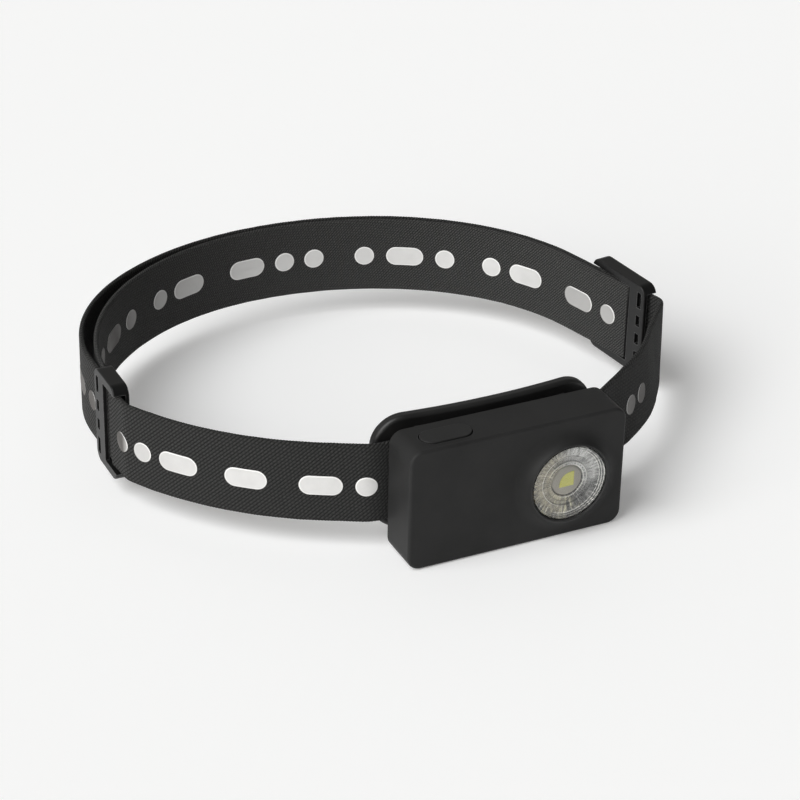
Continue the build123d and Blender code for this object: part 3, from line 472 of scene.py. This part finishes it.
def reflective_print(name, colour):
    """Reflective film, with a paler line along its edge and fine glass-bead grain. Painted reflection and shade in
    its
    colour: light where it faces the eye, dark at a grazing angle and most of all on the right, away from the light."""
    made, tree, skin = material(name)
    across = add(tree, "ShaderNodeSeparateXYZ", {0: coordinates(tree, "UV")}).outputs[0]
    where = coordinates(tree)
    beads = noise(tree, where, 3200.0, 2.0)
    cloud = noise(tree, where, 240.0, 3.0)
    tone = maths(tree, "ADD", times(tree, beads, 0.25), times(tree, cloud, 0.75))
    low, high = tuple(c * 0.93 for c in colour) + (1,), tuple(colour) + (1,)
    body = blend(tree, spread(tree, tone, 0.35, 0.65), low, high)
    border = spread(tree, across, 0.84, 0.92)
    bright = blend(tree, border, body, tuple(min(1.0, c * 1.22) for c in colour) + (1,))
    # Painted shade: the film's colour goes dark where it is seen at a grazing angle, and on the right (x from 30 to
    # 60 mm), away from the light.
    facing = add(tree, "ShaderNodeLayerWeight", {"Blend": 0.5}).outputs["Facing"]
    painted_slant_shade = maths(tree, "POWER", spread(tree, facing, 0.12, 0.66), 1.5)
    split = add(tree, "ShaderNodeSeparateXYZ", {0: where})
    painted_right_shade = times(tree, spread(tree, split.outputs[0], 30 * MM, 60 * MM), spread(tree, facing, 0.25, 0.5))
    painted_film_shade = maths(tree, "MAXIMUM", painted_slant_shade, painted_right_shade)
    tree.links.new(blend(tree, painted_film_shade, bright, (0.055, 0.049, 0.044, 1)), skin.inputs["Base Color"])
    tree.links.new(spread(tree, tone, 0.35, 0.65, 0.42, 0.55), skin.inputs["Roughness"])
    bump = add(tree, "ShaderNodeBump", {"Height": beads, "Distance": 0.01 * MM, "Strength": 0.25})
    tree.links.new(bump.outputs[0], skin.inputs["Normal"])
    return made


def clear_plastic(name, roughness):
    """Polished clear acrylic, with very faint moulding marks in its bump."""
    made, tree, skin = material(name)
    marks = noise(tree, coordinates(tree), 300.0, 2.0)
    skin.inputs["Base Color"].default_value = (0.98, 0.985, 0.98, 1)
    skin.inputs["Transmission Weight"].default_value = 1.0
    skin.inputs["IOR"].default_value = 1.49
    tree.links.new(spread(tree, marks, 0.3, 0.7, roughness, roughness + 0.03), skin.inputs["Roughness"])
    bump = add(tree, "ShaderNodeBump", {"Height": marks, "Distance": 0.01 * MM, "Strength": 0.15})
    tree.links.new(bump.outputs[0], skin.inputs["Normal"])
    return made


def ring(tree, radius, middle, half):
    """One at a radius from the lens axis, falling to nothing this far either side of it."""
    away = maths(tree, "ABSOLUTE", maths(tree, "SUBTRACT", radius, middle * MM))
    return spread(tree, away, 0.0, half * MM, 1.0, 0.0)


def silvered(name, colour, roughness, metallic=0.6):
    """The bright inside of the optic, with its reflections painted into its colour: beige on the left, silver on the
    right, painted shade at the lower right, pale painted streaks below, thin painted highlight rings with dark gaps,
    and a ring of small dark dots. Sides are read off the angle round the lens axis, rings off the distance from it,
    in millimetres."""
    made, tree, skin = material(name)
    where = add(
        tree, "ShaderNodeMapping", {"Vector": coordinates(tree), "Location": [-c for c in LENS_CENTRE]}
    ).outputs[0]
    split = add(tree, "ShaderNodeSeparateXYZ", {0: where})
    angle = maths(tree, "ARCTAN2", split.outputs[2], split.outputs[0])
    flat = add(tree, "ShaderNodeCombineXYZ", {0: split.outputs[0], 1: split.outputs[2]}).outputs[0]
    radius = add(tree, "ShaderNodeVectorMath", {0: flat}, operation="LENGTH").outputs["Value"]
    ray = add(tree, "ShaderNodeCombineXYZ", {0: times(tree, angle, 9.0), 1: times(tree, radius, 160.0)})
    streak = noise(tree, ray.outputs[0], 1.0, 4.0, 0.7)
    patch = noise(tree, where, 260.0, 3.0)
    uneven = times(tree, maths(tree, "SUBTRACT", patch, 0.5), 1.3)
    rim = spread(tree, radius, 8.6 * MM, 10.2 * MM)

    def towards(degrees, low, high):
        """How far this place lies towards one side, with an uneven border."""
        facing = maths(tree, "COSINE", maths(tree, "SUBTRACT", angle, math.radians(degrees)))
        return spread(tree, maths(tree, "ADD", facing, uneven), low, high)

    def tinted(*share):
        return tuple(c * w for c, w in zip(colour, share)) + (1,)

    # Painted reflections and shade: the colour changes with the side, beige towards the left, silver towards the
    # upper right, dark towards the lower right, with pale streaks below.
    dark, bright = tinted(0.05, 0.05, 0.052), tinted(1.25, 1.25, 1.23)
    base = blend(tree, towards(190, -0.3, 0.5), tinted(0.62, 0.62, 0.62), tinted(0.6, 0.55, 0.42))
    base = blend(tree, times(tree, towards(30, 0.2, 0.75), 0.8), base, tinted(1.0, 1.01, 1.03))
    base = blend(tree, times(tree, towards(-52, 0.55, 0.9), 0.85), base, dark)
    below = times(tree, towards(-105, 0.75, 1.0), spread(tree, streak, 0.45, 0.6))
    base = blend(tree, below, base, tinted(1.1, 1.05, 0.75))
    # Painted reflections: random dark and bright facets, dark lines near the rim, a darker band at 6.9 mm, and
    # bright arcs with dark gaps, each shown only on some sides.
    facet = add(tree, "ShaderNodeCombineXYZ", {0: times(tree, angle, 13.0), 1: times(tree, radius, 330.0)})
    facet = noise(tree, facet.outputs[0], 1.0, 3.0, 0.65)
    base = blend(tree, times(tree, spread(tree, facet, 0.52, 0.38), 0.6), base, dark)
    base = blend(tree, times(tree, spread(tree, facet, 0.56, 0.68), 0.65), base, bright)
    lines = times(tree, spread(tree, streak, 0.58, 0.42), spread(tree, rim, 0.0, 1.0, 0.2, 0.8))
    base = blend(tree, lines, base, dark)
    base = blend(tree, times(tree, ring(tree, radius, 6.9, 0.9), 0.35), base, dark)
    painted_highlight_arcs = times(tree, ring(tree, radius, 7.75, 0.16), towards(165, -0.2, 0.4))
    for middle, side in ((6.1, 60), (9.95, -25), (10.6, -35), (11.25, -15), (5.15, -20)):
        arc = times(tree, ring(tree, radius, middle, 0.17), towards(side, -0.3, 0.3))
        painted_highlight_arcs = maths(tree, "MAXIMUM", painted_highlight_arcs, arc)
    base = blend(tree, painted_highlight_arcs, base, bright)
    for middle in (10.28, 10.93):
        painted_dark_gap = times(tree, ring(tree, radius, middle, 0.2), towards(-25, -0.2, 0.3))
        base = blend(tree, painted_dark_gap, base, dark)
    dots = spread(tree, maths(tree, "SINE", times(tree, angle, 34.0)), 0.1, 0.5)
    dots = times(tree, dots, ring(tree, radius, 5.65, 0.28))
    dots = times(tree, dots, towards(95, -0.4, 0.2))
    tree.links.new(blend(tree, dots, base, tinted(0.03, 0.03, 0.03)), skin.inputs["Base Color"])
    skin.inputs["Metallic"].default_value = metallic
    tree.links.new(spread(tree, streak, 0.3, 0.7, roughness, roughness + 0.12), skin.inputs["Roughness"])
    bump = add(tree, "ShaderNodeBump", {"Height": streak, "Distance": 0.08 * MM, "Strength": 0.4})
    tree.links.new(bump.outputs[0], skin.inputs["Normal"])
    return made


def phosphor(name, colour):
    """Yellow phosphor: granular, very matte, with a faint painted glow from its emission."""
    made, tree, skin = material(name)
    grains = noise(tree, coordinates(tree), 5200.0, 3.0)
    low, high = tuple(c * 0.82 for c in colour) + (1,), tuple(colour) + (1,)
    tree.links.new(blend(tree, grains, low, high), skin.inputs["Base Color"])
    tree.links.new(spread(tree, grains, 0.3, 0.7, 0.5, 0.7), skin.inputs["Roughness"])
    # Painted glow: a faint emission in the phosphor's own colours that makes it brighter.
    tree.links.new(blend(tree, grains, low, high), skin.inputs["Emission Color"])
    skin.inputs["Emission Strength"].default_value = 0.12
    bump = add(tree, "ShaderNodeBump", {"Height": grains, "Distance": 0.03 * MM, "Strength": 0.4})
    tree.links.new(bump.outputs[0], skin.inputs["Normal"])
    return made


def wear(node, made):
    """Gives a CAD node one finish all over."""
    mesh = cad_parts[node].data
    mesh.materials.clear()
    mesh.materials.append(made)


def dress(piece, made, body):
    piece.data.materials.append(made)
    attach(piece, body)


# ---- settings -------------------------------------------------------------------------------------
def colour_property(name, description, default):
    return bpy.props.FloatVectorProperty(
        name=name, description=description, subtype="COLOR", size=3, min=0.0, max=1.0, default=default
    )


def length_property(name, description, default, low=0.0, high=0.1):
    return bpy.props.FloatProperty(
        name=name,
        description=description,
        unit="LENGTH",
        subtype="DISTANCE",
        default=default,
        min=low,
        max=high,
        precision=5,
    )


class HeadlampShell(bpy.types.PropertyGroup):
    body: colour_property("Body colour", "Colour of the moulded housing", (0.0205, 0.0205, 0.0205))
    bracket: colour_property("Bracket colour", "Colour of the strap bracket", (0.012, 0.012, 0.012))
    slider: colour_property("Slider colour", "Colour of the strap sliders", (0.0065, 0.0065, 0.0065))
    roughness: bpy.props.FloatProperty(
        name="Body roughness",
        description="Roughness of the housing",
        subtype="FACTOR",
        min=0.0,
        max=1.0,
        default=0.5,
    )


class HeadlampStrap(bpy.types.PropertyGroup):
    thickness: length_property("Thickness", "Thickness of one layer of webbing", 1.5 * MM)
    edge_wave: length_property("Edge wave", "How far the woven edge goes in and out", 0.06 * MM)
    rib_pitch: length_property("Rib pitch", "Distance between the slanted ribs", 1.0 * MM)
    mark_width: length_property("Mark width", "Width of the printed dots and bars", 5.95 * MM)
    bar_length: length_property("Bar length", "Length of the printed bars", 12.3 * MM)
    film: length_property("Film thickness", "How far the print stands off the webbing", 0.07 * MM)
    yarn: colour_property("Yarn colour", "Colour of the webbing", (0.04, 0.04, 0.039))
    print_colour: colour_property("Print colour", "Colour of the reflective print", (0.72, 0.715, 0.705))


class HeadlampOptic(bpy.types.PropertyGroup):
    flutes: bpy.props.IntProperty(
        name="Flutes", description="Radial flutes round the optic", min=12, max=120, default=44
    )
    flute_depth: length_property("Flute depth", "Depth of the radial flutes", 0.16 * MM)
    silver: colour_property("Reflector colour", "Tint of the optic's bright inside", (0.8, 0.79, 0.76))
    emitter: colour_property("Emitter colour", "Colour of the phosphor tile", (0.80, 0.78, 0.16))


class HeadlampStudio(bpy.types.PropertyGroup):
    floor: colour_property("Floor colour", "Colour of the floor", (0.9, 0.9, 0.9))
    sun: bpy.props.FloatProperty(
        name="Key light", description="Strength of the soft key light", min=0.0, default=2.08
    )
    sky: bpy.props.FloatProperty(
        name="Surrounding light", description="Strength of the light from all round", min=0.0, default=0.125
    )


# ---- operators ------------------------------------------------------------------------------------
class HEADLAMP_OT_finishes(bpy.types.Operator):
    """Build the shared shader groups"""

    bl_idname = "headlamp.finishes"
    bl_label = "Shader groups"

    def execute(self, context):
        GROUPS["Moulded grain"] = moulded_grain()
        GROUPS["Edge polish"] = edge_polish()
        GROUPS["Webbing weave"] = webbing_weave()
        return {"FINISHED"}


class HEADLAMP_OT_shell(bpy.types.Operator):
    """Give the housing, the cover, the button, the bracket and the sliders their finishes"""

    bl_idname = "headlamp.shell"
    bl_label = "Housing and hardware"

    def execute(self, context):
        shell = context.scene.headlamp_shell
        colour = tuple(shell.body)
        body = moulded("soft touch housing", colour, shell.roughness, edge=0.8, shine=0.14, painted_glint=0.03)
        wear("front_housing", body)
        back = moulded("rear cover", colour, shell.roughness + 0.05, grain=0.7, shine=0.14)
        wear("rear_cover", back)
        button = tuple(c * 1.1 for c in colour)
        wear("power_button", moulded("silicone button", button, 0.5, grain=0.6, shine=0.16))
        cover = moulded("silicone port cover", tuple(c * 0.9 for c in colour), 0.6, grain=0.6, shine=0.3)
        wear("usb_cover", cover)
        wear("usb_cover_anchor", cover)
        bracket = moulded(
            "nylon bracket", tuple(shell.bracket), 0.42,
            grain=0.5, grain_scale=4200.0, edge=0.9, shine=0.45, painted_glint=0.03,
        )
        wear("strap_bracket", bracket)
        slider = moulded(
            "acetal slider", tuple(shell.slider), 0.38,
            grain=0.3, grain_scale=3000.0, edge=1.0, edge_radius=0.35 * MM, shine=0.25, painted_glint=0.12,
        )
        wear("left_slider", slider)
        wear("right_slider", slider)
        steel = bare_metal("stainless steel", (0.55, 0.54, 0.52), 0.3)
        wear("cover_screws", steel)
        wear("tilt_pin", steel)
        return {"FINISHED"}


class HEADLAMP_OT_insides(bpy.types.Operator):
    """Give the parts inside the housing their finishes"""

    bl_idname = "headlamp.insides"
    bl_label = "Inner parts"

    def execute(self, context):
        rubber = moulded("black seal", (0.03, 0.03, 0.03), 0.6)
        wear("cover_seal", rubber)
        wear("lens_seal", rubber)
        wear("lens_holder", moulded("white holder", (0.75, 0.75, 0.72), 0.45, lift=1.05, edge=0.0))
        wear("led_board", moulded("white board", (0.7, 0.7, 0.68), 0.4, lift=1.05, edge=0.0))
        wear("led_base", moulded("emitter ceramic", (0.78, 0.74, 0.6), 0.35, lift=1.05, edge=0.0))
        wear("led_phosphor", phosphor("chip phosphor", (0.70, 0.66, 0.14)))
        wear("led_dome", clear_plastic("emitter dome", 0.02))
        wear("thermal_pad", moulded("thermal silicone", (0.4, 0.45, 0.5), 0.7, edge=0.0))
        wear("main_board", moulded("solder mask", (0.02, 0.12, 0.06), 0.3, grain=0.3, edge=0.0))
        chip = moulded("chip epoxy", (0.02, 0.02, 0.02), 0.55)
        for node in ("driver_chips", "mode_switch", "switch_plunger", "usb_tongue"):
            wear(node, chip)
        wear("battery", bare_metal("pouch foil", (0.62, 0.62, 0.63), 0.35, scratch=250.0))
        wear("battery_tape", moulded("foam tape", (0.16, 0.16, 0.16), 0.85, grain=0.9, edge=0.0))
        wear("battery_tabs", bare_metal("nickel strip", (0.66, 0.62, 0.55), 0.28))
        wear("usb_receptacle", bare_metal("receptacle shell", (0.6, 0.6, 0.6), 0.25))
        return {"FINISHED"}


WAVE_PITCH = 0.87  # of the woven edge, in millimetres
WANDERS, BOWS = 90, 14  # how many slow changes of edge and of face there are along one layer
FACE_SWELL = 1.05  # the faces swell by a twentieth towards the middle


def webbing_section(width, thickness):
    """The outline of the webbing across its length, as (height, distance out, length along the outline): two
    faces joined by half rounds, the faces swelling towards the middle."""
    half = thickness / 2
    up = np.linspace(half, width - half, 27)
    swell = half * (1 + (FACE_SWELL - 1) * np.sin(math.pi * (up - half) / (width - thickness)))
    turn = np.linspace(0, math.pi, 9)[1:-1]
    high = np.column_stack([width - half + half * np.sin(turn), half * np.cos(turn)])
    low = np.column_stack([half - half * np.sin(turn), -half * np.cos(turn)])
    outline = np.vstack([np.column_stack([up, swell]), high, np.column_stack([up[::-1], -swell[::-1]]), low])
    step = np.linalg.norm(np.diff(outline, axis=0), axis=1)
    return outline[:, 0], outline[:, 1], np.concatenate([[0.0], np.cumsum(step)])


def webbing(name, path, width, thickness, wave, seed):
    """The section carried along the path. Near each long edge the height is moved by a wave of the rib's pitch
    and by a slow uneven wander, and the whole layer bows in and out by a few hundredths. On the front layer the
    low edge also stands out and the high edge in, by the lean at that place."""
    height, out, round_run = webbing_section(width, thickness)
    random = np.random.default_rng(seed)
    run = path.run[:, None]
    wander = np.interp(run, np.linspace(0, path.length, WANDERS), random.normal(0, 0.05, WANDERS))
    bow = np.interp(run, np.linspace(0, path.length, BOWS), random.normal(0, 0.03, BOWS))
    edge = smooth_step(1.2, 0.0, np.minimum(height, width - height))[None, :]
    side = np.where(height > width / 2, 1.0, -1.0)[None, :]
    ripple = wave * np.sin(2 * math.pi * run / WAVE_PITCH + side) + 0.5 * wander
    lifted = height[None, :] + side * edge * ripple
    thin = 1 - 0.06 * edge * np.sin(2 * math.pi * run / WAVE_PITCH)
    places = np.repeat(run, len(height), axis=1)
    points = path.place(places, out[None, :] * thin + bow, STRAP_LOW.z / MM + lifted, width)
    uv = np.stack(np.broadcast_arrays(run, round_run[None, :]), axis=-1)
    return loft(name, points, uv)


def printed_mark(name, path, middle, length, width, film, face, height):
    """A dot or bar of film laid on the webbing. Rings at a growing distance from the bar's middle line, each two
    half circles and two straight runs; distance out = face + film, dropping below the face at the rim."""
    radius = width / 2
    reach = (length - width) / 2
    arc = np.linspace(-math.pi / 2, math.pi / 2, 17)
    straight = np.linspace(0, 1, 10)[1:-1] if reach > 0 else np.zeros(0)
    level = np.array([0.004, 0.2, 0.4, 0.6, 0.8, 0.9, 0.97, 1.0, 1.0, 0.9])
    raised = np.array([1, 1, 1, 1, 1, 1.15, 0.9, 0.35, -1.6, -1.6])
    rings = []
    for distance in level * radius:
        bend = arc if reach > 0 else arc[:-1]
        right = np.column_stack([reach + distance * np.cos(bend), distance * np.sin(bend)])
        top = np.column_stack([reach - 2 * reach * straight, np.full(len(straight), distance)])
        rings.append(np.vstack([right, top, -right, -top]))
    rings = np.array(rings)
    side = math.copysign(1.0, face)
    out = face + side * film * np.broadcast_to(raised[:, None], rings.shape[:2])
    points = path.place(middle + rings[..., 0], out, height + rings[..., 1], STRAP_WIDTH / MM)
    uv = np.stack([np.broadcast_to(level[:, None], rings.shape[:2]), np.zeros(rings.shape[:2])], axis=-1)
    return loft(name, points, uv)


# What is printed: kind and distance along the layer, or along the motif, in millimetres.
FRONT_RUN = [("dot", 13.0), ("dot", 21.3), ("bar", 33.2), ("bar", 53.7), ("bar", 74.8), ("dot", 87.4)]
FRONT_RUN_RIGHT = [("dot", 180.5), ("dot", 188.5)]
MOTIF = [("dot", 0.0), ("bar", 12.6), ("bar", 34.9), ("dot", 48.0)]
MOTIF += [("dot", 57.9), ("dot", 74.5), ("bar", 87.7), ("dot", 100.9)]
MOTIF_PITCH = 116.8
OUTER_START = 11.8  # where the motif starts on the outer rear layer
INNER_START = 87.5 - MOTIF_PITCH  # and on the inner one, before its end
INNER_MARK, OUTER_MARK = 1.09, 1.02  # the inner layer's marks are printed a little larger
END_MARGINS = (4, 2)  # a mark ends no nearer than this to the layer's start and end


def repeated(start, times_over):
    """The motif this many times over, end to end."""
    return [(kind, start + number * MOTIF_PITCH + at) for number in range(times_over) for kind, at in MOTIF]


class HEADLAMP_OT_strap(bpy.types.Operator):
    """Build the three layers of webbing and the marks printed on them"""

    bl_idname = "headlamp.strap"
    bl_label = "Strap"

    def execute(self, context):
        strap = context.scene.headlamp_strap
        width, thick = STRAP_WIDTH / MM, strap.thickness / MM
        yarn, coarse = tuple(strap.yarn), strap.rib_pitch / MM
        inner = Path(rear_path(LAYER_STEP, *INNER_ENDS, INNER_SLACK, INNER_SWEEP), -1.0)
        front = Path(front_path(), 1.0, shift=FRONT_SHIFT, lean=FRONT_LEAN)
        outer = Path(rear_path(0, LEFT_JOIN, RIGHT_JOIN), -1.0)
        # Name, CAD node, path, slant of the ribs in radians, their pitch and the yarn's tone as shares, seed.
        layers = (
            ("strap_front", "front_strap", front, 0.78, 0.9, 1.0, 3),
            ("strap_rear_outer", "rear_strap_outer", outer, -0.85, 0.85, 1.0, 5),
            ("strap_rear_inner", "rear_strap_inner", inner, -0.85, 0.72, 1.6, 7),
        )
        film = reflective_print("reflective film", tuple(strap.print_colour))
        places = {"strap_front": FRONT_RUN + FRONT_RUN_RIGHT}
        places["strap_rear_outer"] = repeated(OUTER_START, 2)
        places["strap_rear_inner"] = repeated(INNER_START, 3)
        for name, node, path, angle, fineness, tone, seed in layers:
            rib = coarse * fineness
            cloth = webbing(name, path, width, thick, strap.edge_wave / MM, seed)
            finish = woven(name.replace("_", " "), tuple(c * tone for c in yarn), angle, rib, rib * 1.5)
            dress(cloth, finish, "band")
            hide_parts(node)
            face = (-1 if path is inner else 1) * thick / 2 * FACE_SWELL
            middle = STRAP_LOW.z / MM + width / 2 - (0.8 if name == "strap_front" else 0.2)
            wide = strap.mark_width / MM * (INNER_MARK if path is inner else OUTER_MARK)
            for number, (kind, at) in enumerate(sorted(places[name], key=lambda m: m[1])):
                long = wide if kind == "dot" else strap.bar_length / MM
                if at - long / 2 < END_MARGINS[0] or at + long / 2 > path.length - END_MARGINS[1]:
                    continue
                label = f"{name}_mark_{number:02d}"
                mark = printed_mark(label, path, at, long, wide, strap.film / MM, face, middle)
                dress(mark, film, "band")
        return {"FINISHED"}


class HEADLAMP_OT_optic(bpy.types.Operator):
    """Build the fluted optic, its centre and its emitter"""

    bl_idname = "headlamp.optic"
    bl_label = "Optic"

    def execute(self, context):
        optic = context.scene.headlamp_optic
        silver = silvered("optic inside", tuple(optic.silver), 0.16)

        def flutes(radius, angle):
            share = smooth_step(8.3, 9.3, radius)
            return optic.flute_depth / MM * share * np.abs(np.sin(optic.flutes / 2 * angle))

        # Radius and depth: the back and the outer wall, two fine beads at the rim, the fluted cone, the middle
        # ring with a bead on each side, and the inner ring down to the seat.
        bowl = [(9.6, 5.6), (10.9, 2.6), (11.4, 2.4)]
        bowl += [(11.4, 0.75), (11.3, 0.6), (11.15, 0.75), (11.0, 0.95), (10.85, 0.75), (10.7, 0.95), (10.5, 1.1)]
        bowl += [(r, 1.12 + (10.3 - r) * 0.22) for r in np.linspace(10.3, 7.95, 14)]
        bowl += [(7.85, 1.55), (7.75, 1.45), (7.6, 1.75), (7.3, 1.9), (6.8, 1.95), (6.35, 1.9)]
        bowl += [(6.2, 1.6), (6.1, 1.5), (5.95, 1.6)]
        bowl += [(5.6, 1.7), (5.3, 1.75), (5.15, 1.65), (5.0, 1.8), (4.85, 2.1), (4.75, 2.8), (4.7, 5.6)]
        piece = loft("optic_bowl", turned(bowl, 448, flutes))
        dress(piece, silver, "lamp")
        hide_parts("lens_optic")

        seat = [(4.72, 5.4), (4.72, 2.3), (4.5, 1.95), (4.2, 1.85), (2.5, 1.82), (0.05, 1.82)]
        core = loft("optic_core", turned(seat, 96))
        ceramic = moulded("emitter seat", (0.5, 0.465, 0.39), 0.25, lift=1.1, edge=0.0)
        dress(core, ceramic, "lamp")

        window = [(0.02, 0.02)] + [(r, 0.02 + 0.0003 * r * r) for r in np.linspace(1, 11.1, 16)]
        window += [(11.3, 0.06), (11.4, 0.14), (11.43, 0.3), (11.35, 0.45)]
        window += [(11.1, 0.5), (7.0, 0.5), (0.02, 0.5)]
        glass = loft("optic_window", turned(window, 160))
        dress(glass, clear_plastic("clear optic", 0.0), "lamp")

        tile = self.tile(2.25)
        dress(tile, phosphor("phosphor tile", tuple(optic.emitter)), "lamp")
        return {"FINISHED"}

    @staticmethod
    def tile(size):
        """A tile with one large round corner: the outline is two straight sides and one bulging arc, scaled in by
        rings to its middle. It sits a little left of the lens axis and above it."""
        arc = np.linspace(math.pi / 2, math.pi, 24)
        bulge = 0.8
        across, up = np.abs(np.cos(arc)) ** bulge, np.sin(arc) ** bulge
        curve = np.column_stack([size - 2 * size * across, -size + 2 * size * up])
        low = np.column_stack([np.linspace(-size, size, 14)[1:], np.full(13, -size)])
        side = np.column_stack([np.full(12, size), np.linspace(-size, size, 14)[1:-1]])
        outline = np.vstack([curve, low, side])
        shares = np.array([1.0, 1.0, 0.97, 0.9, 0.5, 0.03])
        depths = np.array([2.1, 1.7, 1.64, 1.62, 1.62, 1.62])
        x = LENS_CENTRE.x + (outline[None, :, 0] * shares[:, None] - 0.15) * MM
        z = LENS_CENTRE.z + (outline[None, :, 1] * shares[:, None] + 0.5) * MM
        y = np.broadcast_to(LENS_LOW.y + depths[:, None] * MM, x.shape)
        return loft("optic_emitter", np.stack([x, y, z], axis=-1))


CAMERA_TURN = (-26.05, 29.44, 1.29)  # azimuth, elevation and roll, in degrees
CAMERA_PLACE = (-303.8, -552.45, 398.2)  # in millimetres
CAMERA_SENSOR, CAMERA_LENS = 36, 118.39
KEY_FROM = (-0.8, -0.15, 1.0)  # where the key light comes from
KEY_SIZE = 42  # how wide it looks from the object, in degrees


class HEADLAMP_OT_studio(bpy.types.Operator):
    """Make the floor, the light and the camera"""

    bl_idname = "headlamp.studio"
    bl_label = "Studio"

    def execute(self, context):
        scene = context.scene
        studio = scene.headlamp_studio
        self.floor(tuple(studio.floor))
        self.key_light(studio.sun)
        self.surroundings(scene, studio.sky)
        self.camera(scene)
        scene.view_settings.view_transform = "Standard"
        return {"FINISHED"}

    @staticmethod
    def floor(colour):
        side = np.linspace(-4, 4, 9)
        x, y = np.meshgrid(side, side, indexing="ij")
        points = np.stack([x, y, np.full_like(x, -0.1 * MM)], axis=-1).reshape(-1, 3)
        mesh = bpy.data.meshes.new("floor")
        mesh.from_pydata(points.tolist(), [], grid_faces(9, 9, wrap_columns=False).tolist())
        mesh.update()
        floor = bpy.data.objects.new("floor", mesh)
        bpy.context.scene.collection.objects.link(floor)
        made, tree, skin = material("pale floor")
        fine = noise(tree, coordinates(tree), 3.0, 3.0)
        dim = tuple(c * 0.995 for c in colour) + (1,)
        tree.links.new(blend(tree, fine, dim, tuple(colour) + (1,)), skin.inputs["Base Color"])
        skin.inputs["Roughness"].default_value = 0.9
        skin.inputs["Specular IOR Level"].default_value = 0.1
        skin.inputs["Emission Color"].default_value = (1, 1, 1, 1)
        skin.inputs["Emission Strength"].default_value = 0.19
        mesh.materials.append(made)

    @staticmethod
    def key_light(strength):
        data = bpy.data.lights.new("key", "SUN")
        data.energy = strength
        data.angle = math.radians(KEY_SIZE)
        light = bpy.data.objects.new("key", data)
        data.color = (0.985, 0.995, 1.0)
        light.rotation_euler = Vector(KEY_FROM).to_track_quat("Z", "Y").to_euler()
        bpy.context.scene.collection.objects.link(light)

    @staticmethod
    def surroundings(scene, strength):
        """Light from all round, brighter behind, with a broad soft patch low on the left."""
        world = bpy.data.worlds.new("studio")
        world.use_nodes = True
        tree = world.node_tree
        where = add(tree, "ShaderNodeTexCoord").outputs["Generated"]
        split = add(tree, "ShaderNodeSeparateXYZ", {0: where})
        side = spread(tree, split.outputs[1], 0.2, 0.9, 1.0, 3.0)
        low_left = {0: where, 1: (-0.9, -0.38, 0.2)}
        towards = add(tree, "ShaderNodeVectorMath", low_left, operation="DOT_PRODUCT").outputs["Value"]
        box = spread(tree, towards, 0.8, 0.96, 0.0, 22.0)
        seen = add(tree, "ShaderNodeLightPath").outputs["Is Camera Ray"]
        lit = times(tree, maths(tree, "ADD", side, box), strength)
        level = add(tree, "ShaderNodeMix", {0: seen, 2: lit, 3: 0.895}, data_type="FLOAT").outputs[0]
        tree.links.new(level, tree.nodes["Background"].inputs["Strength"])
        tint = blend(tree, seen, (1, 0.985, 0.955, 1), (1, 1, 1, 1))
        tree.links.new(tint, tree.nodes["Background"].inputs["Color"])
        scene.world = world

    @staticmethod
    def camera(scene):
        """A long lens from the left front and above: turned by azimuth, elevation and a slight roll."""
        azimuth, elevation, roll = (math.radians(v) for v in CAMERA_TURN)
        level = math.cos(elevation)
        back = Vector((math.sin(azimuth) * level, -math.cos(azimuth) * level, math.sin(elevation)))
        right = Vector((math.cos(azimuth), math.sin(azimuth), 0))
        up = back.cross(right)
        across = right * math.cos(roll) + up * math.sin(roll)
        above = up * math.cos(roll) - right * math.sin(roll)
        data = bpy.data.cameras.new("camera")
        data.sensor_width, data.lens = CAMERA_SENSOR, CAMERA_LENS
        data.clip_start, data.clip_end = 0.01, 50
        camera = bpy.data.objects.new("camera", data)
        turn = Matrix((across, above, back)).transposed().to_4x4()
        camera.matrix_world = Matrix.Translation(Vector(CAMERA_PLACE) * MM) @ turn
        scene.collection.objects.link(camera)
        scene.camera = camera


class HEADLAMP_PT_panel(bpy.types.Panel):
    """Lists the headlamp's operators and settings"""

    bl_idname = "HEADLAMP_PT_panel"
    bl_label = "Headlamp"
    bl_space_type = "VIEW_3D"
    bl_region_type = "UI"
    bl_category = "Headlamp"

    def draw(self, context):
        for operator in OPERATORS:
            self.layout.operator(operator.bl_idname)
        for name in SETTINGS:
            settings = getattr(context.scene, name)
            box = self.layout.box()
            for key in settings.__annotations__:
                box.prop(settings, key)


OPERATORS = (
    HEADLAMP_OT_studio,
    HEADLAMP_OT_finishes,
    HEADLAMP_OT_shell,
    HEADLAMP_OT_insides,
    HEADLAMP_OT_strap,
    HEADLAMP_OT_optic,
)
SETTINGS = {
    "headlamp_shell": HeadlampShell,
    "headlamp_strap": HeadlampStrap,
    "headlamp_optic": HeadlampOptic,
    "headlamp_studio": HeadlampStudio,
}


def register():
    for kind in (*SETTINGS.values(), *OPERATORS, HEADLAMP_PT_panel):
        bpy.utils.register_class(kind)
    for name, kind in SETTINGS.items():
        setattr(bpy.types.Scene, name, bpy.props.PointerProperty(type=kind))


def unregister():
    for name in SETTINGS:
        delattr(bpy.types.Scene, name)
    for kind in (HEADLAMP_PT_panel, *OPERATORS[::-1], *list(SETTINGS.values())[::-1]):
        bpy.utils.unregister_class(kind)


def main():
    register()
    for operator in OPERATORS:
        group_name, name = operator.bl_idname.split(".")
        getattr(getattr(bpy.ops, group_name), name)()


if __name__ == "__main__":
    main()
